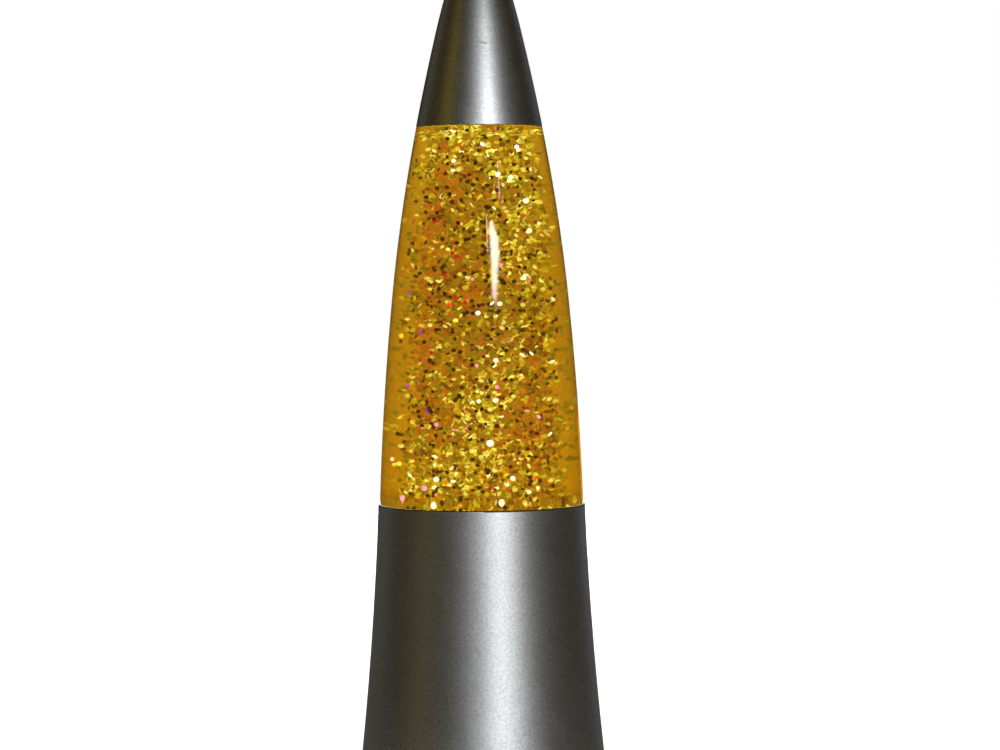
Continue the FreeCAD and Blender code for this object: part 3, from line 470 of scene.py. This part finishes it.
def amber_liquid():
    t = Tree("amber_liquid")
    t.principled(
        **{
            "Base Color": (0.625, 0.414, 0.044, 1.0),
            "Roughness": 0.085,
            "IOR": 1.40,
            "Transmission Weight": 1.0,
        }
    )
    t.lamps_pass()
    volume = t.add("ShaderNodeVolumeAbsorption")
    volume.inputs["Color"].default_value = (0.932, 0.82, 0.04, 1.0)
    volume.inputs["Density"].default_value = 25.0
    t.link(volume.outputs[0], t.out.inputs["Volume"])
    return t.mat


def glitter_film(name, base, rough, lit, dim):
    """One colour of glitter: metal-coated film. Each flake also glows with painted
    light, between lit and dim, that stands for the light the others pass on to it."""
    t = Tree(name)
    flake = t.cells(700.0, out="Color")
    split = t.add("ShaderNodeSeparateColor")
    t.link(flake, split.inputs[0])
    top = max(max(lit), max(dim))
    t.principled(
        **{
            "Base Color": t.blended(split.outputs[0], base, tuple(0.85 * c for c in base)),
            "Metallic": 1.0,
            "Roughness": t.ranged(split.outputs[1], 0.0, 1.0, rough - 0.07, rough + 0.07),
            "Emission Color": t.blended(
                split.outputs[2], tuple(c / top for c in lit), tuple(c / top for c in dim)
            ),
            "Emission Strength": top,
        }
    )
    return t.mat


SILVER = satin_silver()
STEEL = plain_metal("pressed_steel", (0.60, 0.60, 0.60), 0.38, 900.0)
FIXING = plain_metal("fixing_steel", (0.66, 0.66, 0.64), 0.30, 1800.0)
BRASS = plain_metal("contact_brass", (0.78, 0.58, 0.26), 0.28)
BULB_METAL = plain_metal("bulb_metal", (0.70, 0.69, 0.66), 0.25)
SOLDER = plain_metal("solder", (0.60, 0.60, 0.60), 0.35, 2500.0, 0.00004)
TUNGSTEN = glowing_wire("tungsten")
CROWN = plain_metal("crown_metal", (0.66, 0.66, 0.64), 0.33)
RUBBER = plain_plastic("black_rubber", (0.025, 0.025, 0.026), 0.7)
SILICONE = plain_plastic("clear_silicone", (0.62, 0.60, 0.55), 0.45)
HOLDER = plain_plastic("holder_plastic", (0.72, 0.70, 0.63), 0.42)
CORE = plain_plastic("holder_ceramic", (0.80, 0.78, 0.72), 0.55, 1500.0)
BLOCK = plain_plastic("block_plastic", (0.74, 0.73, 0.68), 0.3)
LIVE = plain_plastic("live_insulation", (0.10, 0.035, 0.012), 0.4)
NEUTRAL = plain_plastic("neutral_insulation", (0.02, 0.07, 0.30), 0.4)
VITRITE = plain_plastic("black_glass", (0.012, 0.012, 0.012), 0.12)
LINER = plain_plastic("liner_plastic", (0.80, 0.80, 0.78), 0.5)
FOAM = plain_plastic("foam_ring", (0.04, 0.04, 0.042), 0.85, 1200.0, 0.0002)
GLASS = clear_glass("bottle_glass", (0.90, 0.80, 0.45), 1.5)
BULB_GLASS = reflector_glass("bulb_clear_glass")
STEM_GLASS = clear_glass("bulb_stem_glass", (0.95, 0.95, 0.93), 1.5, 0.02, 0.00001)
LIQUID = amber_liquid()
# Every kind glows with painted light. The palest and the white kinds glow brightest, painted highlights; the
# darkest kind is painted shade.
GLITTER = {
    "copper": glitter_film("copper_glitter", (0.26, 0.13, 0.07), 0.55, (0.76, 0.32, 0.10), (0.46, 0.19, 0.045)),
    "ochre": glitter_film("ochre_glitter", (0.25, 0.20, 0.08), 0.50, (0.52, 0.36, 0.06), (0.34, 0.23, 0.03)),
    "brown": glitter_film("brown_glitter", (0.16, 0.10, 0.05), 0.50, (0.38, 0.19, 0.04), (0.18, 0.085, 0.02)),
    "olive": glitter_film("olive_glitter", (0.23, 0.225, 0.09), 0.42, (0.44, 0.46, 0.06), (0.19, 0.165, 0.02)),
    "gold": glitter_film("gold_glitter", (0.56, 0.58, 0.24), 0.38, (0.88, 1.00, 0.22), (0.45, 0.46, 0.06)),
    "pale": glitter_film("painted_lit_glitter", (0.80, 0.90, 0.55), 0.34, (1.36, 1.82, 2.9), (0.86, 1.04, 0.30)),
    "painted_sparkle": glitter_film("painted_sparkle_glitter", (1.0, 1.0, 0.86), 0.25, (3.0, 3.9, 18.0), (2.3, 3.1, 11.0)),
    "shaded_bronze": glitter_film("shaded_bronze_glitter", (0.06, 0.04, 0.03), 0.32, (0.10, 0.045, 0.008), (0.015, 0.009, 0.002)),
    "red": glitter_film("red_glitter", (0.50, 0.04, 0.05), 0.35, (0.80, 0.04, 0.16), (0.36, 0.02, 0.05)),
    "pink": glitter_film("pink_glitter", (0.9, 0.4, 0.7), 0.30, (2.2, 1.2, 12.0), (1.7, 0.35, 8.0)),
    "violet": glitter_film("violet_glitter", (0.40, 0.05, 0.9), 0.30, (0.45, 0.04, 8.0), (0.28, 0.02, 5.0)),
}

BY_SLOT = {
    "satin_silver": SILVER,
    "pressed_steel": STEEL,
    "fixing_steel": FIXING,
    "black_rubber": RUBBER,
    "clear_silicone": SILICONE,
    "holder_plastic": HOLDER,
    "holder_ceramic": CORE,
    "contact_brass": BRASS,
    "block_plastic": BLOCK,
    "live_insulation": LIVE,
    "neutral_insulation": NEUTRAL,
    "bulb_clear_glass": BULB_GLASS,
    "bulb_metal": BULB_METAL,
    "black_glass": VITRITE,
    "solder": SOLDER,
    "tungsten": TUNGSTEN,
    "bottle_glass": GLASS,
    "amber_liquid": LIQUID,
    "gold_glitter": GLITTER["gold"],
    "crown_metal": CROWN,
    "liner_plastic": LINER,
    "foam_ring": FOAM,
}
for part in frame["record"]["subparts"]:
    obj = nodes[part["node"]]
    mat = BY_SLOT[part["material_slot"]]
    for s in obj.material_slots:
        s.material = mat
for s in nodes["bulb_stem"].material_slots:
    s.material = STEM_GLASS

# --------------------------------------------------------------------------
# Bottle and liquid
# --------------------------------------------------------------------------
BOTTLE_INNER = [
    (9.4, 330.4, 12.5, "l"),
    (21.6, 318.6),
    (25.59, 311.5, 814.2, "l"),
    (37.17, 235.0, 1389.2, "l"),
    (42.91, 146.6),
    (42.2, 139.0),
    (42.2, 136.0, 6.0, "l"),
    (36.2, 130.0),
    (31.0, 129.15, 127.0, "r"),
    (0.0, 132.8),
]
BOTTLE = [
    (0.0, 130.0, 123.6, "l"),
    (31.0, 126.05),
    (38.0, 126.05, 7.0, "r"),
    (45.0, 133.05),
    (45.0, 144.6),
    (45.71, 147.6, 1392.0, "r"),
    (39.97, 235.0, 817.0, "r"),
    (28.31, 314.7, 0.3, "r"),
    (28.0, 315.0),
    (24.9, 315.0, 0.35, "l"),
    (24.6, 315.35),
    (24.3, 320.0, 14.0, "r"),
    (13.6, 332.2, 2.0, "l"),
    (12.6, 334.5),
    (12.6, 338.0),
    (13.3, 338.7),
    (13.3, 341.0, 2.5, "r"),
    (10.8, 343.5),
    (8.7, 343.5, 0.8, "l"),
    (7.9, 342.7),
    (7.9, 332.5, 2.5, "r"),
] + BOTTLE_INNER
bottle = lathe("bottle", BOTTLE, 256, GLASS, step=5.0)
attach(bottle, "bottle")
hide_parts("bottle_glass")

lap = 0.2
liquid = lathe(
    "liquid",
    [
        (0.0, 132.8 - lap, 127.0, "l"),
        (31.0, 129.15 - lap),
        (36.2, 130.0 - lap, 6.0 + lap, "r"),
        (42.2 + lap, 136.0),
        (42.2 + lap, 139.0),
        (42.91 + lap, 146.6, 1389.2, "r"),
        (37.17 + lap, 235.0, 814.2, "r"),
        (25.59 + lap, 311.5),
        (21.6 + lap, 318.5),
        (0.0, 318.5),
    ],
    256,
    LIQUID,
    step=5.0,
)
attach(liquid, "bottle")
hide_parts("bottle_liquid")


# --------------------------------------------------------------------------
# Glitter
# --------------------------------------------------------------------------
def inner_radius(z):
    """Radius of the liquid at a height, both in mm."""
    return float(
        np.interp(
            z,
            [130, 136, 146.6, 160, 180, 200, 220, 235, 260, 280, 300, 311.5, 318.5],
            [36.0, 42.2, 42.91, 42.2, 41.1, 39.8, 38.4, 37.17, 34.5, 31.8, 28.5, 25.6, 21.6],
        )
    )


def patch(u, z, spots):
    """How strongly soft spots, each (offset, height, half width, half height,
    weight) in mm, cover a place in the bottle."""
    total = 0.0
    for cu, cz, wu, wz, weight in spots:
        d = ((u - cu) / wu) ** 2 + ((z - cz) / wz) ** 2
        total += weight * math.exp(-d)
    return total


COPPER_SPOTS = [
    (-26, 262, 9, 24, 0.8),
    (-29, 217, 9, 14, 0.9),
    (-24, 186, 8, 10, 0.6),
    (23, 182, 11, 22, 0.5),
    (-13, 290, 9, 10, 0.5),
    (-4, 238, 7, 14, 0.4),
]
# painted pools of light: soft spots where more of the brightest glowing flakes go
BRIGHT_SPOTS = [
    (17, 302, 18, 12, 1.0),
    (0, 308, 16, 8, 0.9),
    (-14, 304, 12, 6, 0.5),
    (22, 266, 12, 26, 0.9),
    (-1, 184, 11, 16, 1.0),
    (-5, 160, 28, 12, 0.8),
    (11, 204, 10, 14, 0.5),
]


SHADE_SPOTS = [(26, 172, 13, 26, 1.0), (24, 222, 10, 12, 0.5), (-24, 238, 12, 16, 0.4)]

# Large flakes that stand out: kind, offset and height in mm, half width. They face
# the front, and the white and pale ones glow as painted glints.
SPARKLES = [
    ("painted_sparkle", -12.4, 298.5, 0.9),
    ("painted_sparkle", 8.8, 292.4, 1.05),
    ("pale", 6.1, 302.9, 1.05),
    ("pale", 15.1, 301.6, 1.0),
    ("painted_sparkle", 20.9, 280.6, 1.2),
    ("pale", 18.7, 278.0, 1.0),
    ("painted_sparkle", 25.0, 270.5, 0.85),
    ("painted_sparkle", 9.4, 235.6, 1.05),
    ("painted_sparkle", -1.2, 231.6, 1.05),
    ("pink", -3.8, 246.5, 0.7),
    ("pale", -12.0, 228.2, 0.95),
    ("pink", -2.0, 208.5, 0.7),
    ("painted_sparkle", 7.4, 210.7, 1.1),
    ("pink", 7.9, 198.9, 0.85),
    ("painted_sparkle", 7.0, 193.2, 1.15),
    ("painted_sparkle", -1.1, 192.8, 0.9),
    ("painted_sparkle", -4.4, 192.3, 0.9),
    ("pale", -9.7, 195.8, 1.1),
    ("painted_sparkle", 4.3, 174.4, 1.55),
    ("painted_sparkle", -21.4, 158.2, 1.15),
    ("painted_sparkle", -13.7, 157.8, 1.0),
    ("pale", -35.4, 163.9, 1.0),
    ("painted_sparkle", 15.1, 158.7, 1.15),
    ("painted_sparkle", 3.4, 160.4, 0.9),
    ("painted_sparkle", 9.7, 148.5, 1.2),
    ("painted_sparkle", -22.7, 147.4, 1.2),
    ("pale", 16.0, 153.9, 1.3),
    ("violet", -30.4, 240.0, 0.8),
    ("violet", -26.4, 222.5, 0.8),
    ("violet", -31.3, 198.4, 0.85),
    ("violet", -24.5, 188.0, 0.9),
    ("pink", -26.4, 153.9, 1.2),
    ("pink", -39.4, 166.0, 0.9),
    ("red", -13.3, 258.0, 1.0),
    ("red", -11.3, 256.2, 1.0),
    ("red", -17.3, 248.3, 1.0),
    ("red", -12.2, 238.2, 1.0),
    ("red", -7.4, 236.0, 1.05),
    ("red", -15.0, 235.2, 1.0),
    ("red", -23.0, 214.0, 0.95),
    ("red", 4.0, 154.3, 0.95),
    ("red", -5.9, 208.0, 0.9),
    ("red", 8.0, 207.0, 0.9),
]


def flake_solid(verts, faces, centre, v, size, spin, half=0.035):
    """Adds a six-sided plate of film, v its normal, all in mm."""
    side = np.cross(v, [0.0, 0.0, 1.0] if abs(v[2]) < 0.9 else [1.0, 0.0, 0.0])
    side /= np.linalg.norm(side)
    other = np.cross(v, side)
    b = len(verts)
    for level in (-half, half):
        for k in range(6):
            a = spin + k * math.pi / 3
            p = centre + (side * math.cos(a) + other * math.sin(a)) * size + v * level
            verts.append(tuple(p * MM))
    faces.append((b + 5, b + 4, b + 3, b + 2, b + 1, b))
    faces.append((b + 6, b + 7, b + 8, b + 9, b + 10, b + 11))
    for k in range(6):
        n = (k + 1) % 6
        faces.append((b + k, b + n, b + 6 + n, b + 6 + k))


def make_glitter(name, count, seed, low=132.5, high=316.5):
    """Flakes of film, most of them in the middle of the bottle: copper ones
    at its heart, and gold ones around them. Tipped flakes get the brightest
    glowing kinds, a painted light of the bulb, and those that face outwards
    the darkest kind, a painted shade against them."""
    rng = np.random.default_rng(seed)
    kinds = list(GLITTER)
    verts, faces, slots = [], [], []
    made = 0
    while made < count:
        z = rng.uniform(low, high)
        if rng.random() > (inner_radius(z) / 43.0) ** 2:
            continue
        full = inner_radius(z) - 1.2
        heart = rng.random() < 0.34
        stray = not heart and rng.random() < 0.065
        if heart:
            r = 0.56 * inner_radius(z) * math.sqrt(rng.random())
        elif stray:
            r = full * rng.uniform(0.60, 0.88)
        else:
            wide = float(np.interp(z, (150, 240, 300), (0.655, 0.665, 0.70)))
            r = wide * inner_radius(z) * math.sqrt(rng.random()) * (1 + 0.05 * rng.normal())
        if r > full:
            continue
        phi = rng.uniform(0, 2 * math.pi)
        x, y = r * math.cos(phi), r * math.sin(phi)
        u = x * (1.4 + 0.006 * y)
        warm = min(1.0, patch(u, z, COPPER_SPOTS))
        lit = min(1.0, patch(u, z, BRIGHT_SPOTS))
        shade = min(1.0, patch(u, z, SHADE_SPOTS))
        outward = np.array([math.cos(phi), math.sin(phi), 0.0])
        v = rng.normal(size=3)
        size = rng.uniform(1.0, 1.22)
        if heart:
            if rng.random() < 0.35 * lit:
                continue
            kind = "copper" if rng.random() < 0.20 + 1.3 * warm else "ochre"
            if kind == "ochre" and rng.random() < 0.18 + 0.5 * shade:
                kind = "brown"
            elif kind == "ochre" and rng.random() < 0.35 * lit:
                kind = "gold"
            v[2] *= 0.5
            size = rng.uniform(1.15, 1.50)
        else:
            if not stray and rng.random() < 0.55 * warm:
                continue
            share = {
                "olive": 0.33 * (1 - 0.6 * warm),
                "brown": 0.08 + 0.28 * shade,
                "gold": 0.20 * (1 - 0.6 * warm) + 0.26 * lit,
                "pale": (0.08 + 0.33 * lit) * (1 - 0.5 * warm),
                "painted_sparkle": 0.008 + 0.045 * lit,
                "shaded_bronze": 0.32 if r > 0.40 * inner_radius(z) else 0.14,
                "red": 0.003 + 0.010 * warm,
                "pink": 0.001,
                "copper": 0.25 * warm,
            }
            if stray:
                share = {"olive": 0.9, "gold": 0.1}
            names = list(share)
            odds = np.array([share[k] for k in names])
            kind = names[rng.choice(len(names), p=odds / odds.sum())]
            # painted highlights: the brightest kinds lie tipped; painted shade: the darkest kind faces outwards
            if kind in ("pale", "painted_sparkle"):
                turn = rng.uniform(0, 2 * math.pi)
                up = rng.uniform(0.30, 0.78) * rng.choice((-1, 1))
                flat = math.sqrt(1 - up * up)
                v = np.array([flat * math.cos(turn), flat * math.sin(turn), up])
            elif kind == "shaded_bronze":
                v = outward + 0.35 * v
                size *= 0.9
        v /= np.linalg.norm(v)
        centre = np.array([x, y, z])
        flake_solid(verts, faces, centre, v, size, rng.uniform(0, math.pi))
        slots.extend([kinds.index(kind)] * 8)
        made += 1
    for kind, u, z, size in SPARKLES:  # the large ones near the front
        r = 0.56 * inner_radius(z)
        x = u / 1.28
        y = -math.sqrt(max(0.0, r * r - x * x))
        v = np.array([0.0, -1.0, 0.0]) + 0.18 * rng.normal(size=3)
        v /= np.linalg.norm(v)
        flake_solid(verts, faces, np.array([x, y, z]), v, size, rng.uniform(0, math.pi))
        slots.extend([kinds.index(kind)] * 8)
    for _ in range(150):  # some lie against the shoulder, at the top
        r, phi = 25.0 * math.sqrt(rng.random()), rng.uniform(0, 2 * math.pi)
        centre = np.array([r * math.cos(phi), r * math.sin(phi), rng.uniform(309.0, 312.5)])
        if r > inner_radius(centre[2]) - 1.5:
            continue
        v = rng.normal(size=3) * (0.25, 0.25, 0.0) + (0, 0, 1.0)
        v /= np.linalg.norm(v)
        flake_solid(verts, faces, centre, v, rng.uniform(0.9, 1.05), rng.uniform(0, math.pi))
        slots.extend([kinds.index("pale" if rng.random() < 0.5 else "gold")] * 8)
    obj = new_object(name, verts, faces, smooth=False)
    for kind in kinds:
        obj.data.materials.append(GLITTER[kind])
    obj.data.polygons.foreach_set("material_index", slots)
    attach(obj, "bottle")
    return obj


glitter = make_glitter("glitter", 9600, 7)
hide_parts("glitter_flakes")

# --------------------------------------------------------------------------
# Floor, surroundings and lights
# --------------------------------------------------------------------------
def make_floor():
    s = 14.0
    floor = new_object(
        "floor", [(-s, -s, 0), (s, -s, 0), (s, s, 0), (-s, s, 0)], [(0, 1, 2, 3)], smooth=False
    )
    t = Tree("pale_floor")
    pale = t.add("ShaderNodeBsdfDiffuse")
    pale.inputs["Color"].default_value = (0.86, 0.86, 0.855, 1.0)
    # what the satin metal mirrors of it: dim, paler behind the lamp, and
    # palest close round its foot, where only a look from high above finds it
    x, y, _ = t.add("ShaderNodeSeparateXYZ").outputs
    t.link(t.position(), x.node.inputs[0])
    turn = t.math("ARCTAN2", t.math("ABSOLUTE", x), y)
    reach = t.math("SQRT", t.math("ADD", t.math("MULTIPLY", x, x), t.math("MULTIPLY", y, y)))
    far = t.blended(
        t.ranged(turn, 0.35, 0.85, 1.0, 0.0, smooth=True), (0.050, 0.049, 0.041), (0.11, 0.11, 0.105)
    )
    dim = t.add("ShaderNodeEmission")
    t.link(
        t.blended(t.ranged(reach, 0.12, 0.235, 1.0, 0.0, smooth=True), far, (0.26, 0.26, 0.25)),
        dim.inputs["Color"],
    )
    path = t.add("ShaderNodeLightPath")
    mix = t.add("ShaderNodeMixShader")
    glass = t.add("ShaderNodeEmission")
    glass.inputs["Color"].default_value = (0.26, 0.145, 0.012, 1.0)
    room = t.add("ShaderNodeMixShader")
    t.link(path.outputs["Is Singular Ray"], room.inputs[0])
    t.link(dim.outputs[0], room.inputs[1])
    t.link(glass.outputs[0], room.inputs[2])
    t.link(t.math("GREATER_THAN", path.outputs["Glossy Depth"], 0.5), mix.inputs[0])
    t.link(pale.outputs[0], mix.inputs[1])
    t.link(room.outputs[0], mix.inputs[2])
    t.link(mix.outputs[0], t.out.inputs["Surface"])
    floor.data.materials.append(t.mat)
    return floor


def make_world():
    world = bpy.data.worlds.new("studio")
    bpy.context.scene.world = world
    world.use_nodes = True
    nt = world.node_tree
    nt.nodes.clear()
    out = nt.nodes.new("ShaderNodeOutputWorld")
    path = nt.nodes.new("ShaderNodeLightPath")

    def background(colour, strength):
        node = nt.nodes.new("ShaderNodeBackground")
        node.inputs[0].default_value = (*colour, 1.0)
        node.inputs[1].default_value = strength
        return node.outputs[0]

    def choose(flag, a, b):
        node = nt.nodes.new("ShaderNodeMixShader")
        nt.links.new(flag, node.inputs[0])
        nt.links.new(a, node.inputs[1])
        nt.links.new(b, node.inputs[2])
        return node.outputs[0]

    mirrored = nt.nodes.new("ShaderNodeMath")
    mirrored.operation = "GREATER_THAN"
    nt.links.new(path.outputs["Glossy Depth"], mirrored.inputs[0])
    mirrored.inputs[1].default_value = 0.5

    seen = background((1.0, 1.0, 1.0), 1.0)  # behind the lamp, also through its glass
    plain = choose(path.outputs["Is Diffuse Ray"], seen, background((1.0, 1.0, 1.0), 1.25))
    metal = background((1.0, 0.62, 0.02), 0.021)  # the dim room in the metal
    flakes = background((1.0, 1.0, 1.0), 0.18)  # and in the glitter, through the glass
    glass = background((1.0, 0.56, 0.05), 0.26)  # and in clear glass, seen along its edges
    room = choose(path.outputs["Is Singular Ray"], metal, glass)
    room = choose(path.outputs["Is Transmission Ray"], room, flakes)
    nt.links.new(choose(mirrored.outputs[0], plain, room), out.inputs[0])


def panel(seen_by, name, azimuth, elevation, distance, size, radiance, colour=(1, 1, 1), aim=(0, 0, 0.25)):
    """A soft light at an azimuth, turned from the camera's side towards +X,
    and an elevation, both as seen from the lamp."""
    a, e = math.radians(azimuth), math.radians(elevation)
    away = Vector((math.sin(a) * math.cos(e), -math.cos(a) * math.cos(e), math.sin(e)))
    data = bpy.data.lights.new(name, "AREA")
    data.shape = "RECTANGLE"
    data.size, data.size_y = size
    data.energy = radiance * math.pi * size[0] * size[1]
    data.color = colour
    obj = bpy.data.objects.new(name, data)
    obj.location = Vector(aim) + away * distance
    obj.rotation_mode = "QUATERNION"
    obj.rotation_quaternion = away.to_track_quat("Z", "Y")
    bpy.context.scene.collection.objects.link(obj)
    obj.visible_camera = False
    obj.visible_transmission = False
    obj.light_linking.receiver_collection = seen_by
    return obj


def window_shape(light):
    """The window is no plain rectangle: its sides lean together downwards and
    its top is cut off slantwise, all with soft edges."""
    light.use_nodes = True
    nt = light.node_tree
    emission = nt.nodes["Emission"]

    def node(kind, **settings):
        n = nt.nodes.new(kind)
        for key, value in settings.items():
            setattr(n, key, value)
        return n

    def math_node(operation, a, b=None):
        n = node("ShaderNodeMath", operation=operation)
        for socket, value in zip(n.inputs, (a, b)):
            if isinstance(value, bpy.types.NodeSocket):
                nt.links.new(value, socket)
            elif value is not None:
                socket.default_value = value
        return n.outputs[0]

    def curve(value, stops):
        n = node("ShaderNodeValToRGB")
        elements = n.color_ramp.elements
        while len(elements) < len(stops):
            elements.new(0.5)
        for element, (position, level) in zip(elements, stops):
            element.position = position
            element.color = (*level, 1.0) if isinstance(level, tuple) else (level, level, level, 1.0)
        nt.links.new(value, n.inputs[0])
        return n.outputs[0]

    def soft_step(value, width):
        n = node("ShaderNodeMapRange", interpolation_type="SMOOTHSTEP")
        nt.links.new(value, n.inputs["Value"])
        n.inputs["From Min"].default_value = 0.0
        n.inputs["From Max"].default_value = width
        return n.outputs["Result"]

    place = node("ShaderNodeNewGeometry")
    split = node("ShaderNodeSeparateXYZ")
    nt.links.new(place.outputs["Parametric"], split.inputs[0])
    across, up = split.outputs[0], split.outputs[1]
    left = curve(up, [(0.0, 0.36), (0.13, 0.30), (0.22, 0.08), (1.0, 0.04)])
    right = curve(up, [(0.0, 0.50), (0.22, 0.70), (0.42, 0.84), (0.62, 0.97), (0.8, 0.93), (1.0, 0.48)])
    mask = math_node(
        "MULTIPLY",
        soft_step(math_node("SUBTRACT", across, left), 0.30),
        soft_step(math_node("SUBTRACT", right, across), 0.36),
    )
    nt.links.new(math_node("MULTIPLY", mask, 1.0), emission.inputs["Strength"])
    nt.links.new(
        curve(
            up,
            [
                (0.0, (0.45, 0.40, 0.36)),
                (0.25, (0.64, 0.58, 0.55)),
                (0.5, (0.87, 0.78, 0.64)),
                (0.75, (0.98, 0.93, 0.77)),
            ],
        ),
        emission.inputs["Color"],
    )


floor = make_floor()
make_world()

# The glass mirrors its surroundings sharply and the metal softly, so each has
# its own lights.
solid_things = bpy.data.collections.new("solid_things")
for obj in [*nodes.values(), glitter, floor]:
    solid_things.objects.link(obj)
clear_things = bpy.data.collections.new("clear_things")
clear_things.objects.link(bottle)

panel(solid_things, "window", 17.7, 14.8, 2.0, (0.44, 0.165), 50.5, (0.90, 0.945, 1.0))
panel(solid_things, "window_low", 17.4, 10.9, 2.0, (0.27, 0.11), 38.0, (0.90, 0.945, 1.0))
panel(solid_things, "curtain", 25.5, 14.8, 2.0, (0.08, 0.165), 14.0, (1.0, 0.86, 0.46))
panel(solid_things, "wall", -5.0, 14.0, 2.0, (0.4, 0.5), 1.5)
panel(solid_things, "low", 30.7, 0.0, 0.9, (0.324, 0.12), 1.87, aim=(0, 0, 0.065))
panel(solid_things, "warm_side", -64.5, 16.5, 1.6, (0.4, 1.0), 0.265, (1.0, 0.70, 0.05))
panel(solid_things, "rear_left", -130.0, 10.7, 1.6, (0.7, 1.2), 0.075, (1.0, 1.0, 0.88))
panel(solid_things, "rear_right", 140.4, 9.8, 1.6, (0.2, 1.2), 0.307, (0.66, 0.73, 1.0))
panel(solid_things, "rear_edge", 163.0, 9.8, 1.6, (0.45, 1.2), 0.085, (0.90, 0.93, 1.0))
panel(solid_things, "rear_window", 180.0, 12.0, 2.0, (0.10, 0.60), 75.0)
panel(solid_things, "back", 180.0, 10.0, 1.6, (0.42, 0.5), 3.0)

glint = panel(clear_things, "glint", 20.5, 12.75, 2.0, (0.63, 0.30), 27.0)
window_shape(glint.data)
panel(clear_things, "glint_side", 10.1, 16.0, 2.0, (0.06, 0.12), 9.0, (1.0, 0.80, 0.75))
panel(clear_things, "pink_tube", 30.7, 20.2, 2.0, (0.07, 0.11), 14.0, (1.0, 0.25, 0.85))
panel(clear_things, "edge", 163.0, 0.0, 0.9, (0.30, 0.10), 0.8, (1.0, 0.40, 0.03), aim=(0, 0, 0.11))
panel(clear_things, "glint_back", 173.0, 14.0, 2.0, (0.30, 0.24), 20.0)

glitter_only = bpy.data.collections.new("glitter_only")
glitter_only.objects.link(glitter)


def inner_light(name, place, watts, radius=0.02, colour=(1, 1, 1)):
    """A part of the lamp's own light, which passes from flake to flake in the
    bottle and lights nothing else."""
    data = bpy.data.lights.new(name, "POINT")
    data.energy = watts
    data.color = colour
    data.shadow_soft_size = radius
    data.cycles.use_multiple_importance_sampling = False
    obj = bpy.data.objects.new(name, data)
    obj.location = place
    bpy.context.scene.collection.objects.link(obj)
    obj.visible_camera = False
    obj.visible_transmission = False
    obj.light_linking.receiver_collection = glitter_only
    obj.light_linking.blocker_collection = glitter_only
    return obj


inner_light("glow_below", (0.0, 0.0, -0.10), 1.2, 0.10)
inner_light("glow_above", (0.0, 0.0, 0.60), 1.2, 0.12)



def bulb_light(name, watts, receivers=None):
    data = bpy.data.lights.new(name, "POINT")
    data.energy = watts
    data.color = (1.0, 0.86, 0.62)
    data.shadow_soft_size = 0.008
    obj = bpy.data.objects.new(name, data)
    obj.location = (0, 0, 0.1035)
    obj.visible_camera = False
    obj.visible_transmission = False
    if receivers is not None:
        obj.light_linking.receiver_collection = receivers
    bpy.context.scene.collection.objects.link(obj)


bulb_light("bulb_light", 0.07)
bulb_light("bulb_light_up", 0.43, glitter_only)

# --------------------------------------------------------------------------
# Render settings that only treat light and colour
# --------------------------------------------------------------------------
scene = bpy.context.scene
scene.view_settings.view_transform = "Standard"
scene.view_settings.look = "None"
scene.cycles.max_bounces = 20
scene.cycles.transmission_bounces = 16
scene.cycles.glossy_bounces = 8
scene.cycles.diffuse_bounces = 4
scene.cycles.transparent_max_bounces = 24
